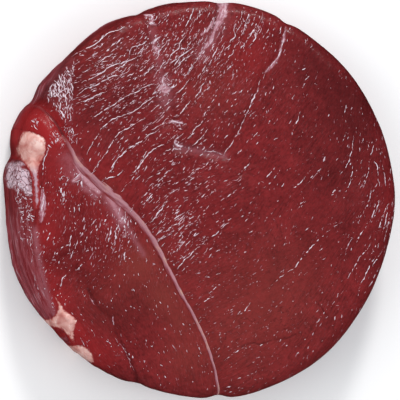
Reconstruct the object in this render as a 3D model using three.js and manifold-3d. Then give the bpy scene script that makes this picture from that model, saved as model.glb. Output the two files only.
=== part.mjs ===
// Raw venison leg steak: a thick slice across the haunch, lying on its lower cut face.
// Three muscles meet in it. A wavy layer of silverskin parts the large topside muscle from the
// inner muscle, and pockets of fat lie where the inner muscle meets the narrow outer one.
// Every layer runs through the whole thickness. Millimetres, +Z up, seen from above with +Y away.
import * as THREE from "three";
import Module from "manifold-3d";
import { mergeVertices } from "three/addons/utils/BufferGeometryUtils.js";

// Driving dimensions of the slice
const meanRadius = 70; // middle of the slice to its rim
const rimShiftX = 3.5; // the rim bulges to the right and is tucked in on the left
const rimSquash = -0.3; // a little longer in Y than in X
const thickness = 28; // floor to the cut face near its middle
const crownHeight = 1.1; // the cut face swells this much towards its middle
const faceGap = 0.3; // air between neighbouring pieces
const slitWidth = 0.4; // the cut between two muscles where no fat parts them

// Fineness of the solids
const sectorCount = 120;
const ringCount = 15; // rings of the cut face, closer together towards the rim
const ringShare = (i) => 1 - (1 - i / (ringCount + 0.35)) ** 1.6;
const curveSteps = 72; // spans along a layer
const pocketSteps = 40; // spans round a fat pocket
const cutterDepth = 20; // how far the cutting prisms pass the slice, up and down

// Dents in the rim where seams and creases run out: angle and spread in degrees, depth in mm
const rimDents = [
  { at: -84.3, spread: 2.6, depth: 1.2 },
  { at: -107, spread: 2.8, depth: 0.8 },
  { at: 148, spread: 4, depth: 1.8 },
  { at: 166.5, spread: 3.2, depth: 1.7 },
  { at: 63.4, spread: 2.5, depth: 0.7 },
  { at: 84, spread: 2.6, depth: 0.6 },
  { at: 106, spread: 3, depth: 0.6 },
];
// Slow waves of the rim: how many round it, height in mm, and phase in radians
const rimWaves = [
  { count: 5, height: 0.4, phase: 1.0 },
  { count: 9, height: 0.22, phase: 2.2 },
];

// The rim rolls over in a quarter ellipse, at least this wide and this deep
const roll = { width: 4.5, drop: 6 };
// Where it rolls over further: angle and spread in degrees, and what is added there
const rollPlaces = [
  { name: "right side", at: 0, spread: 50, width: 4.5, drop: 6 },
  { name: "outer muscle", at: 187, spread: 30, width: 6, drop: 13 },
  { name: "far left", at: 146, spread: 16, width: 9, drop: 1.5 },
];
// The wall below the roll, from the top down: share of the height there, and how far in it lies
const wallRows = [
  { share: 1, inset: 0 },
  { share: 0.66, inset: -0.4 },
  { share: 0.34, inset: 0 },
  { share: 0.1, inset: 0.5 },
  { share: 0, inset: 1.8 },
];
const lean = { x: -2, y: 1 }; // the cut is slanting, so the foot lies this far from the rim
// Bulges of the wall, which grow towards its foot and wind round it as they go down
const wallWaves = [
  { count: 7, height: 0.7, phase: 0.6, twist: 1.6 },
  { count: 12, height: 0.35, phase: 2.8, twist: -2.1 },
];

// Silverskin: points of its middle line on the cut face, with half its width there
const silverskinLine = [
  { x: -78, y: 49, half: 0.5 },
  { x: -65.4, y: 40.9, half: 0.5 },
  { x: -55.2, y: 31.3, half: 0.5 },
  { x: -50.1, y: 24.9, half: 0.55 },
  { x: -46.5, y: 17.8, half: 0.8 },
  { x: -43.6, y: 12.4, half: 1.2 },
  { x: -38.1, y: 7.1, half: 1.6 },
  { x: -32, y: 1.8, half: 1.75 },
  { x: -25.4, y: -3.9, half: 1.45 },
  { x: -18.9, y: -12.1, half: 1.1 },
  { x: -14.5, y: -19.5, half: 0.95 },
  { x: -10.9, y: -26.6, half: 0.85 },
  { x: -6.2, y: -35.2, half: 0.7 },
  { x: -1.1, y: -44.4, half: 0.6 },
  { x: 2.5, y: -53.3, half: 0.6 },
  { x: 5.1, y: -62.2, half: 0.6 },
  { x: 8.6, y: -80, half: 0.6 },
];
// Where the inner and the outer muscle meet, from the rim on the left to the middle fat
const outerLine = [
  { x: -84, y: 20 },
  { x: -70, y: 16.6 },
  { x: -64.5, y: 13.6 },
  { x: -60, y: 6.5 },
  { x: -58.2, y: -1 },
  { x: -58.6, y: -14 },
  { x: -56.6, y: -25 },
  { x: -54.2, y: -34 },
  { x: -52.4, y: -39.4 },
  { x: -50.5, y: -42.5 },
];
// Outlines of the fat pockets on the cut face, anticlockwise
const fatOutlines = {
  fat_upper: [
    [-61.5, 24],
    [-63.4, 19.6],
    [-63.2, 16],
    [-61.6, 12.9],
    [-59.8, 8.6],
    [-59.2, 3.4],
    [-58.9, -1.4],
    [-57.8, -3.4],
    [-56.7, -0.6],
    [-57, 5.6],
    [-57, 11],
    [-55, 15.6],
    [-54.8, 20.6],
    [-57.8, 23],
  ],
  fat_middle: [
    [-51.6, -33],
    [-50.4, -37.5],
    [-52.2, -41.2],
    [-57, -44.8],
    [-56, -46.6],
    [-49.8, -44.8],
    [-46.8, -47.2],
    [-44.4, -50],
    [-44.8, -45.4],
    [-43.8, -42.4],
    [-45.2, -40.2],
    [-48, -38],
  ],
  fat_lower: [
    [-45.2, -51.2],
    [-47, -55],
    [-46, -61],
    [-38.4, -62],
    [-37.2, -57.4],
    [-38.8, -52.8],
    [-42, -50.6],
  ],
};

// Valleys in the cut face: a line of points, the depth and the half width in mm
const valleys = [
  {
    name: "crease above the fold",
    depth: 2.6,
    half: 2.8,
    line: [[-72, 45], [-65.4, 40.9], [-55.2, 31.3], [-49, 23]],
  },
  {
    name: "inner furrow",
    depth: 1.2,
    half: 2.2,
    line: [[-44.3, -24.9], [-39.2, -32.7], [-32.7, -41.9], [-26.9, -51.5], [-20.3, -70]],
  },
  {
    name: "gap left of the fat",
    depth: 4.5,
    half: 2.4,
    line: [[-72, 17], [-66.8, 17.2]],
  },
  {
    name: "right seam",
    depth: 0.7,
    half: 1.8,
    line: [[31.6, 66], [28, 51.5], [21.8, 41.9], [16.7, 30.2], [8.4, 16], [-1.5, 16.7], [-9, 18.5]],
  },
  {
    name: "left seam",
    depth: 0.7,
    half: 2,
    line: [[-19.2, 68], [-16.3, 53.3], [-13.8, 40.9], [-11.6, 31.3], [-8.7, 19.2]],
  },
  {
    name: "silver band",
    depth: 0.9,
    half: 2.4,
    line: [[10.2, 72], [4.7, 56.8], [0.7, 51.5]],
  },
  {
    name: "beside the silverskin",
    depth: 0.7,
    half: 2.6,
    line: silverskinLine.slice(4).map((p) => [p.x, p.y]),
  },
];
// Rounded mounds and hollows: middle, height and spread in mm
const mounds = [
  { name: "red fold", x: -57.4, y: 27.7, height: 1.2, spread: 6 },
  { name: "hollow at the rim", x: -67, y: 24.5, height: -2, spread: 4 },
  { name: "upper fat", x: -60.5, y: 17.5, height: 1, spread: 5 },
  { name: "end of the inner muscle", x: -33, y: -22, height: 0.9, spread: 16 },
];
// The inner muscle lies lower than the topside, and lower still towards the fat
const innerSag = { near: 0.5, step: 4.25, far: 2.2, reach: 34 };
const wedge = { x: 0.012, y: -0.007 }; // the slice is a little thicker at one side
// Slow swells of the cut face: waves per mm along X and Y, height in mm, and phase
const swells = [
  { kx: 0.17, ky: 0.11, height: 0.28, phase: 0.4 },
  { kx: -0.09, ky: 0.23, height: 0.22, phase: 1.9 },
  { kx: 0.31, ky: -0.19, height: 0.12, phase: 3.1 },
];

const meatColours = { topside: 0x762a2d, inner: 0x7c2e31, outer: 0x823c40 };
const silverskinColour = 0xb07a80;
const fatColour = 0xd19690;

const degrees = THREE.MathUtils.radToDeg;
const wrapDegrees = (a) => ((((a + 180) % 360) + 360) % 360) - 180;
const bell = (x, spread) => Math.exp(-((x / spread) ** 2));

// Distance from the middle to the rim at an angle, seen from above
function rimRadius(angle) {
  const inDegrees = degrees(angle);
  let r = meanRadius + rimShiftX * Math.cos(angle) + rimSquash * Math.cos(2 * angle);
  for (const wave of rimWaves) r += wave.height * Math.sin(wave.count * angle + wave.phase);
  for (const dent of rimDents) r -= dent.depth * bell(wrapDegrees(inDegrees - dent.at), dent.spread);
  return r;
}

// Width and depth of the rim's roll at an angle
function rollAt(angle) {
  let { width, drop } = roll;
  for (const place of rollPlaces) {
    const here = bell(wrapDegrees(degrees(angle) - place.at), place.spread);
    width += place.width * here;
    drop += place.drop * here;
  }
  return { width, drop };
}

// Distance from a point to a line of points
function distanceToLine(x, y, line) {
  let nearest = Infinity;
  for (let i = 1; i < line.length; i++) {
    const [ax, ay] = line[i - 1];
    const [bx, by] = line[i];
    const along = ((x - ax) * (bx - ax) + (y - ay) * (by - ay)) / ((bx - ax) ** 2 + (by - ay) ** 2);
    const t = Math.min(1, Math.max(0, along));
    nearest = Math.min(nearest, Math.hypot(x - ax - t * (bx - ax), y - ay - t * (by - ay)));
  }
  return nearest;
}

// Evenly spaced points of the smooth curve through the given ones
function smoothLine(points, spans) {
  return new THREE.SplineCurve(points.map((p) => new THREE.Vector2(p.x, p.y))).getSpacedPoints(spans);
}

const seamLine = smoothLine(silverskinLine, curveSteps);
const silverskinPath = seamLine.map((p) => [p.x, p.y]);

// Height of the muscles' cut face above the floor
function faceHeight(x, y) {
  const angle = Math.atan2(y, x);
  const rim = rimRadius(angle);
  const r = Math.hypot(x, y);
  let z = thickness + crownHeight * (1 - (r / rim) ** 2) + wedge.x * x + wedge.y * y;
  for (const swell of swells) z += swell.height * Math.sin(swell.kx * x + swell.ky * y + swell.phase);
  for (const valley of valleys) z -= valley.depth * bell(distanceToLine(x, y, valley.line), valley.half);
  for (const mound of mounds) z += mound.height * bell(Math.hypot(x - mound.x, y - mound.y), mound.spread);
  z -= innerSagAt(x, y);
  const { width, drop } = rollAt(angle);
  const outwards = Math.min(1, Math.max(0, 1 - (rim - r) / width));
  return z - drop * (1 - Math.sqrt(1 - outwards ** 2));
}

// How far the face lies lower on the inner side of the silverskin
function innerSagAt(x, y) {
  if (!insideInnerSide(x, y)) return 0;
  const distance = distanceToLine(x, y, silverskinPath);
  const far = Math.min(1, distance / innerSag.reach);
  return innerSag.near * Math.min(1, distance / innerSag.step) + (innerSag.far - innerSag.near) * far;
}

// Whether a point lies left of and below the silverskin
function insideInnerSide(x, y) {
  let inside = false;
  const ring = [...silverskinPath, [-90, -80]];
  for (let i = 0, j = ring.length - 1; i < ring.length; j = i++) {
    const [ax, ay] = ring[i];
    const [bx, by] = ring[j];
    if (ay > y !== by > y && x < ((bx - ax) * (y - ay)) / (by - ay) + ax) inside = !inside;
  }
  return inside;
}

// A point of the wall under the rim, at an angle and in a row
function wallPoint(angle, { share, inset }) {
  const rim = rimRadius(angle);
  const height = faceHeight(rim * Math.cos(angle), rim * Math.sin(angle));
  let r = rim - inset;
  for (const wave of wallWaves)
    r += wave.height * (1 - share) * Math.sin(wave.count * angle + wave.phase + wave.twist * share);
  return [
    r * Math.cos(angle) + lean.x * (1 - share),
    r * Math.sin(angle) + lean.y * (1 - share),
    share * height,
  ];
}

// The whole slice as one closed surface: rings of points from the middle of the cut face out over
// the rim, down the wall and in to the middle of the lower face
function sliceGeometry() {
  const positions = [0, 0, faceHeight(0, 0)];
  const rows = [];
  const addRow = (pointAt) => {
    rows.push(positions.length / 3);
    for (let i = 0; i < sectorCount; i++) positions.push(...pointAt((i / sectorCount) * 2 * Math.PI));
  };
  const onRay = (angle, r, z) => [r * Math.cos(angle), r * Math.sin(angle), z];
  for (let i = 1; i <= ringCount; i++)
    addRow((angle) => {
      const r = ringShare(i) * rimRadius(angle);
      return onRay(angle, r, faceHeight(r * Math.cos(angle), r * Math.sin(angle)));
    });
  for (const row of wallRows) addRow((angle) => wallPoint(angle, row));
  const lowest = positions.length / 3;
  positions.push(lean.x, lean.y, 0);

  const faces = [];
  for (let i = 0; i < sectorCount; i++) {
    const next = (i + 1) % sectorCount;
    faces.push(0, rows[0] + i, rows[0] + next);
    for (let k = 1; k < rows.length; k++) {
      const [inner, outer] = [rows[k - 1], rows[k]];
      faces.push(inner + i, outer + i, outer + next, inner + i, outer + next, inner + next);
    }
    const last = rows[rows.length - 1];
    faces.push(last + i, lowest, last + next);
  }
  const geometry = new THREE.BufferGeometry();
  geometry.setAttribute("position", new THREE.Float32BufferAttribute(positions, 3));
  geometry.setIndex(faces);
  return geometry;
}

const wasm = await Module();
wasm.setup();

// A closed geometry as a solid for joining and cutting
function solidOf(geometry) {
  const bare = geometry.clone();
  bare.deleteAttribute("normal");
  bare.deleteAttribute("uv");
  const merged = mergeVertices(bare, 1e-4);
  return new wasm.Manifold(
    new wasm.Mesh({
      numProp: 3,
      vertProperties: merged.attributes.position.array,
      triVerts: new Uint32Array(merged.index.array),
    }),
  );
}

// A solid as a mesh of the part
function meshOf(name, solid, colour, roughness) {
  const { vertProperties, numProp, triVerts } = solid.getMesh();
  const geometry = new THREE.BufferGeometry();
  geometry.setAttribute(
    "position",
    new THREE.BufferAttribute(vertProperties.filter((_, i) => i % numProp < 3), 3),
  );
  geometry.setIndex(new THREE.BufferAttribute(triVerts, 1));
  geometry.computeVertexNormals();
  const material = new THREE.MeshStandardMaterial({ color: colour, roughness, metalness: 0 });
  const mesh = new THREE.Mesh(geometry, material);
  mesh.name = name;
  return mesh;
}

// A prism over an outline, from below the slice to above it
function prismOver(outline) {
  const geometry = new THREE.ExtrudeGeometry(new THREE.Shape(outline), {
    depth: thickness + 2 * cutterDepth,
    bevelEnabled: false,
  });
  return solidOf(geometry.translate(0, 0, -cutterDepth));
}

// The outline of a band that follows a line, its half width given at each point of the line
function bandOutline(path, halfAt) {
  const sides = [[], []];
  path.forEach((p, i) => {
    const before = path[Math.max(0, i - 1)];
    const after = path[Math.min(path.length - 1, i + 1)];
    const across = new THREE.Vector2(before.y - after.y, after.x - before.x).normalize();
    const half = halfAt(i / (path.length - 1));
    sides[0].push(p.clone().addScaledVector(across, half));
    sides[1].unshift(p.clone().addScaledVector(across, -half));
  });
  return [...sides[0], ...sides[1]];
}

// Half the silverskin's width at a share of its length
function silverskinHalf(share) {
  const lengths = [0];
  silverskinLine.forEach((p, i) => {
    const before = silverskinLine[i - 1];
    if (before) lengths.push(lengths[i - 1] + Math.hypot(p.x - before.x, p.y - before.y));
  });
  const at = share * lengths[lengths.length - 1];
  const i = Math.max(1, lengths.findIndex((length) => length >= at));
  const t = (at - lengths[i - 1]) / (lengths[i] - lengths[i - 1]);
  return THREE.MathUtils.lerp(silverskinLine[i - 1].half, silverskinLine[i].half, t);
}

// A fat pocket's outline, moved outwards by a distance
function pocketOutline(points, outwards) {
  const curve = new THREE.CatmullRomCurve3(
    points.map(([x, y]) => new THREE.Vector3(x, y, 0)),
    true,
  );
  const ring = curve.getSpacedPoints(pocketSteps).slice(0, pocketSteps);
  return ring.map((p, i) => {
    const before = ring[(i + pocketSteps - 1) % pocketSteps];
    const after = ring[(i + 1) % pocketSteps];
    const out = new THREE.Vector2(after.y - before.y, before.x - after.x).normalize();
    return new THREE.Vector2(p.x, p.y).addScaledVector(out, outwards);
  });
}

const slice = solidOf(sliceGeometry());

// The layers, each cut out of the slice, and the room that the muscles leave for them
const silverskin = slice.intersect(prismOver(bandOutline(seamLine, silverskinHalf)));
const silverskinRoom = prismOver(bandOutline(seamLine, (share) => silverskinHalf(share) + faceGap));
const outerSlit = prismOver(bandOutline(smoothLine(outerLine, curveSteps), () => slitWidth / 2));

let muscles = slice.subtract(silverskinRoom).subtract(outerSlit);
const fats = {};
for (const [name, points] of Object.entries(fatOutlines)) {
  fats[name] = slice.subtract(silverskinRoom).intersect(prismOver(pocketOutline(points, 0)));
  muscles = muscles.subtract(prismOver(pocketOutline(points, faceGap)));
}

// What is left falls into the muscles, the largest first. Scraps at a layer's end are dropped.
const [topside, inner, outer] = muscles.decompose().sort((a, b) => b.volume() - a.volume());
const largest = (solid) => solid.decompose().sort((a, b) => b.volume() - a.volume())[0];

const steak = new THREE.Group();
steak.add(meshOf("topside_muscle", topside, meatColours.topside, 0.35));
steak.add(meshOf("inner_muscle", inner, meatColours.inner, 0.35));
steak.add(meshOf("outer_muscle", outer, meatColours.outer, 0.3));
steak.add(meshOf("silverskin", largest(silverskin), silverskinColour, 0.3));
for (const [name, solid] of Object.entries(fats)) steak.add(meshOf(name, largest(solid), fatColour, 0.45));

// The frame's origin is under the middle of the slice's box
const middle = new THREE.Box3().setFromObject(steak).getCenter(new THREE.Vector3());
steak.position.set(-middle.x, -middle.y, 0);

export default steak;
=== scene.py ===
import bmesh
import bpy
import numpy as np
from mathutils import Matrix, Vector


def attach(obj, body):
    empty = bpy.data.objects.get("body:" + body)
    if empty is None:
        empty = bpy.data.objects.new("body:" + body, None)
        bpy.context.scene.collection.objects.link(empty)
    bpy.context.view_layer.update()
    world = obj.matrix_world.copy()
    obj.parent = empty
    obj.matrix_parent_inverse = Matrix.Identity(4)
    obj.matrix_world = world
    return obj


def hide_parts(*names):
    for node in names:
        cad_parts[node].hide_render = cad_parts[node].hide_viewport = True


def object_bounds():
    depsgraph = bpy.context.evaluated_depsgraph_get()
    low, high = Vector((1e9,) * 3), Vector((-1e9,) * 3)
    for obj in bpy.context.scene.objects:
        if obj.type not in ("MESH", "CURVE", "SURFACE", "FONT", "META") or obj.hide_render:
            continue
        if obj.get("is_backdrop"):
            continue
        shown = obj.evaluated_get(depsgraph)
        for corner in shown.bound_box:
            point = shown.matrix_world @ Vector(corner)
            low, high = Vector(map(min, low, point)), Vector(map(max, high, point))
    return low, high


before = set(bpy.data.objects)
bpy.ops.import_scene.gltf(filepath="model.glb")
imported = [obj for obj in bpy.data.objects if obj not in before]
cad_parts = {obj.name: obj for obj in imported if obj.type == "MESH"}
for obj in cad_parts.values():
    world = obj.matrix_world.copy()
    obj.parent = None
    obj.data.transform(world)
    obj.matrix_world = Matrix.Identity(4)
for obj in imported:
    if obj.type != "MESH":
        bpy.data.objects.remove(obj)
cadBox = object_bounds()
print("frame loaded, box", cadBox)

# Raw venison leg steak. Lengths are in mm and are turned to metres when a mesh is made.
# Plan coordinates have their middle at the middle of the photograph, X right and Y away.
mm = 0.001  # in metres
metre = 1000  # in mm

# The slice: the same rim, roll, wall and swells as its solids
steakSizes = {
    "meanRadius": 70, "rimShiftX": 3.5, "rimSquash": -0.3,
    "thickness": 28, "crownHeight": 1.1,
    "rollWidth": 4.5, "rollDrop": 6,
    "leanX": -2, "leanY": 1,
    "wedgeX": 0.012, "wedgeY": -0.007,
    "sagNear": 0.5, "sagStep": 4.25, "sagFar": 2.2, "sagReach": 34,
}
# Dents of the rim: angle and spread in degrees, depth
rimDents = [(-84.3, 2.6, 1.2), (-107, 2.8, 0.8), (148, 4, 1.8), (166.5, 3.2, 1.7),
            (63.4, 2.5, 0.7), (84, 2.6, 0.6), (106, 3, 0.6)]
# Slow waves of the rim: count, height, phase
rimWaves = [(5, 0.4, 1.0), (9, 0.22, 2.2)]
# Where the rim rolls over further: angle and spread in degrees, width and drop added
rollPlaces = [(0, 50, 4.5, 6), (187, 30, 6, 13), (146, 16, 9, 1.5)]
# The wall under the roll: share of its height, and how far in it lies there
wallShares = [0, 0.1, 0.34, 0.66, 1]
wallInsets = [1.8, 0.5, 0, -0.4, 0]
# Bulges of the wall: count, height, phase, twist
wallWaves = [(7, 0.7, 0.6, 1.6), (12, 0.35, 2.8, -2.1)]
# Dents of the wall: height, length along it and down it, seed
wallDents = [(0.28, 4.5, 11, 41), (0.12, 1.8, 6, 42)]
# Slow swells of the cut face: waves per mm along X and Y, height, phase
swells = [(0.17, 0.11, 0.28, 0.4), (-0.09, 0.23, 0.22, 1.9), (0.31, -0.19, 0.12, 3.1)]

# Silverskin: points of its middle line with half its width there
silverskinLine = [
    (-78, 49, 0.5), (-65.4, 40.9, 0.5), (-55.2, 31.3, 0.5), (-50.1, 24.9, 0.55), (-46.5, 17.8, 0.8),
    (-43.6, 12.4, 1.2), (-38.1, 7.1, 1.6), (-32, 1.8, 1.75), (-25.4, -3.9, 1.45), (-18.9, -12.1, 1.1),
    (-14.5, -19.5, 0.95), (-10.9, -26.6, 0.85), (-6.2, -35.2, 0.7), (-1.1, -44.4, 0.6),
    (2.5, -53.3, 0.6), (5.1, -62.2, 0.6), (8.6, -80, 0.6),
]
# Where the inner and the outer muscle meet
outerLine = [(-84, 20), (-70, 16.6), (-64.5, 13.6), (-60, 6.5), (-58.2, -1), (-58.6, -14),
             (-56.6, -25), (-54.2, -34), (-52.4, -39.4), (-50.5, -42.5)]
outerEnd = (-66, -52)  # out through the rim, inside the middle fat
fatOutlines = {
    "fat_upper": [(-61.5, 24), (-63.4, 19.6), (-63.2, 16), (-61.6, 12.9), (-59.8, 8.6), (-59.2, 3.4),
                  (-58.9, -1.4), (-57.8, -3.4), (-56.7, -0.6), (-57, 5.6), (-57, 11), (-55, 15.6),
                  (-54.8, 20.6), (-57.8, 23)],
    "fat_middle": [(-51.6, -33), (-50.4, -37.5), (-52.2, -41.2), (-57, -44.8), (-56, -46.6),
                   (-49.8, -44.8), (-46.8, -47.2), (-44.4, -50), (-44.8, -45.4), (-43.8, -42.4),
                   (-45.2, -40.2), (-48, -38)],
    "fat_lower": [(-45.2, -51.2), (-47, -55), (-46, -61), (-38.4, -62), (-37.2, -57.4),
                  (-38.8, -52.8), (-42, -50.6)],
}
# Valleys of the cut face: depth, half width, points
valleys = [
    (2.6, 2.8, [(-72, 45), (-65.4, 40.9), (-55.2, 31.3), (-49, 23)]),  # crease above the fold
    (1.2, 2.2, [(-44.3, -24.9), (-39.2, -32.7), (-32.7, -41.9), (-26.9, -51.5), (-20.3, -70)]),
    (4.5, 2.4, [(-72, 17), (-66.8, 17.2)]),  # gap left of the fat
    (0.7, 1.8, [(31.6, 66), (28, 51.5), (21.8, 41.9), (16.7, 30.2), (8.4, 16), (-1.5, 16.7), (-9, 18.5)]),
    (0.7, 2, [(-19.2, 68), (-16.3, 53.3), (-13.8, 40.9), (-11.6, 31.3), (-8.7, 19.2)]),
    (0.9, 2.4, [(10.2, 72), (4.7, 56.8), (0.7, 51.5)]),
    (0.7, 2.6, [point[:2] for point in silverskinLine[4:]]),
]
# Mounds and hollows: x, y, height, spread
mounds = [(-57.4, 27.7, 1.2, 6), (-67, 24.5, -2, 4), (-60.5, 17.5, 1, 5), (-33, -22, 0.9, 16)]


# exp(-(x / spread) squared)
def bell(x, spread):
    return np.exp(-((x / spread) ** 2))


# An angle in degrees brought between -180 and 180
def wrapDegrees(a):
    return (a + 180) % 360 - 180


# 0 below low, 1 above high, and the cubic 3t^2 - 2t^3 between them
def ease(x, low, high):
    t = np.clip((x - low) / (high - low), 0, 1)
    return t * t * (3 - 2 * t)


# Smooth random heights between about -1 and 1: random values at whole numbers, eased between them
def noise(x, y, seed):
    table = np.random.default_rng(seed).uniform(-1, 1, (256, 256))
    i, j = np.floor(x).astype(int), np.floor(y).astype(int)
    fx, fy = ease(x - i, 0, 1), ease(y - j, 0, 1)
    low = table[i & 255, j & 255] * (1 - fx) + table[i + 1 & 255, j & 255] * fx
    high = table[i & 255, j + 1 & 255] * (1 - fx) + table[i + 1 & 255, j + 1 & 255] * fx
    return low * (1 - fy) + high * fy


# Sum of such heights, each twice as fine and half as high as the one before
def roughNoise(x, y, seed, octaves=3):
    return sum(noise(x * 2 ** k, y * 2 ** k, seed + k) / 2 ** k for k in range(octaves))


# Catmull-Rom curve through the points, then count + 1 places evenly spaced along it
def smoothLine(points, count, closed=False):
    p = np.array(points, float)
    n = len(p) if closed else len(p) - 1
    t = np.linspace(0, n, 24 * n + 1)
    i = np.minimum(t.astype(int), n - 1)
    f = (t - i)[:, None]
    pick = (lambda k: p[(i + k) % n]) if closed else (lambda k: p[np.clip(i + k, 0, n)])
    a, b, c, d = (pick(k) for k in (-1, 0, 1, 2))
    curve = b + f * ((c - a) + f * ((2 * a - 5 * b + 4 * c - d) + f * (3 * b - a - 3 * c + d))) / 2
    along = np.concatenate([[0], np.cumsum(np.hypot(*np.diff(curve[:, :2], axis=0).T))])
    even = np.linspace(0, along[-1], count + 1)
    return np.stack([np.interp(even, along, column) for column in curve.T], axis=1)


# For each place: signed distance to a line (positive on its left), the way along it to the nearest
# point, and the line's third value there if it has one
def nearestOn(line, x, y):
    line = np.array(line, float)
    best = np.full(np.shape(x), np.inf)
    signed, along, third = (np.zeros(np.shape(x)) for _ in range(3))
    start = 0
    for a, b in zip(line[:-1], line[1:]):
        dx, dy = b[:2] - a[:2]
        length = np.hypot(dx, dy)
        t = np.clip(((x - a[0]) * dx + (y - a[1]) * dy) / length ** 2, 0, 1)
        distance = np.hypot(x - a[0] - t * dx, y - a[1] - t * dy)
        closer = distance < best
        best = np.where(closer, distance, best)
        left = dx * (y - a[1]) - dy * (x - a[0]) > 0
        signed = np.where(closer, np.where(left, distance, -distance), signed)
        along = np.where(closer, start + t * length, along)
        if len(a) > 2:
            third = np.where(closer, a[2] + t * (b[2] - a[2]), third)
        start += length
    return signed, along, third


# Distance to a closed ring, negative inside it
def ringSide(ring, x, y):
    inside = np.zeros(np.shape(x), bool)
    for a, b in zip(ring[:-1], ring[1:]):
        if a[1] != b[1]:
            across = x < (b[0] - a[0]) * (y - a[1]) / (b[1] - a[1]) + a[0]
            inside ^= ((a[1] > y) != (b[1] > y)) & across
    distance = np.abs(nearestOn(ring, x, y)[0])
    return np.where(inside, -distance, distance)


seam = smoothLine(silverskinLine, 150)
outer = np.vstack([smoothLine(outerLine, 90), outerEnd])
fatRings = {name: smoothLine(points, 80, closed=True) for name, points in fatOutlines.items()}


# Middle of the slice to its rim at an angle in radians
def rimRadius(angle):
    r = steakSizes["meanRadius"] + steakSizes["rimShiftX"] * np.cos(angle)
    r = r + steakSizes["rimSquash"] * np.cos(2 * angle)
    for count, height, phase in rimWaves:
        r = r + height * np.sin(count * angle + phase)
    for at, spread, depth in rimDents:
        r = r - depth * bell(wrapDegrees(np.degrees(angle) - at), spread)
    return r


# Width and drop of the rim's roll at an angle
def rollAt(angle):
    width, drop = steakSizes["rollWidth"], steakSizes["rollDrop"]
    for at, spread, moreWidth, moreDrop in rollPlaces:
        here = bell(wrapDegrees(np.degrees(angle) - at), spread)
        width, drop = width + moreWidth * here, drop + moreDrop * here
    return width, drop


# Height of the cut face: crown, wedge and swells, less the valleys, the sag of the inner side and
# the roll of the rim, which is a quarter ellipse
def faceHeight(x, y):
    angle, r = np.arctan2(y, x), np.hypot(x, y)
    rim = rimRadius(angle)
    z = steakSizes["thickness"] + steakSizes["crownHeight"] * (1 - (r / rim) ** 2)
    z = z + steakSizes["wedgeX"] * x + steakSizes["wedgeY"] * y
    for kx, ky, height, phase in swells:
        z = z + height * np.sin(kx * x + ky * y + phase)
    for depth, half, line in valleys:
        z = z - depth * bell(nearestOn(line, x, y)[0], half)
    for mx, my, height, spread in mounds:
        z = z + height * bell(np.hypot(x - mx, y - my), spread)
    side = nearestOn(seam, x, y)[0]
    far = np.clip(-side / steakSizes["sagReach"], 0, 1)
    step = np.clip(-side / steakSizes["sagStep"], 0, 1)
    z = z - steakSizes["sagNear"] * step - (steakSizes["sagFar"] - steakSizes["sagNear"]) * far
    width, drop = rollAt(angle)
    outwards = np.clip(1 - (rim - r) / width, 0, 1)
    return z - drop * (1 - np.sqrt(1 - outwards ** 2))


edgeShare = 0.9  # the lattice of a piece ends at this share of the roll, and rows go on from there


# Distance to the line on the roll where the rows of the wall begin, negative inside it
def rimSide(x, y):
    angle = np.arctan2(y, x)
    return np.hypot(x, y) - rimRadius(angle) + (1 - edgeShare) * rollAt(angle)[0]


# How far the wall stands out from that line, at an angle and a height above the floor
def wallOffset(angle, z, rimHeight):
    width, drop = rollAt(angle)
    share = np.clip(z / rimHeight, 0, 1)
    out = (1 - edgeShare) * width - np.interp(share, wallShares, wallInsets)
    for count, height, phase, twist in wallWaves:
        out = out + height * (1 - share) * np.sin(count * angle + phase + twist * share)
    above = np.clip((z - rimHeight) / drop, 0, 1)
    arc = np.arctan2(np.sin(angle), np.cos(angle)) * steakSizes["meanRadius"]
    for height, length, fall, seed in wallDents:
        out = out + height * noise(arc / length, z / fall, seed) * np.sin(np.pi * share) ** 0.5
    return np.where(z > rimHeight, width * (np.sqrt(1 - above ** 2) - edgeShare), out)


# Places moved onto the line where side is nought, by steps along its slope
def ontoLine(side, points):
    tiny = 0.02
    for _ in range(3):
        here = side(points[:, 0], points[:, 1])
        slopeX = (side(points[:, 0] + tiny, points[:, 1]) - here) / tiny
        slopeY = (side(points[:, 0], points[:, 1] + tiny) - here) / tiny
        steep = np.maximum(slopeX ** 2 + slopeY ** 2, 0.2)
        points = points - (here / steep)[:, None] * np.stack([slopeX, slopeY], axis=1)
    return points


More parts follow.
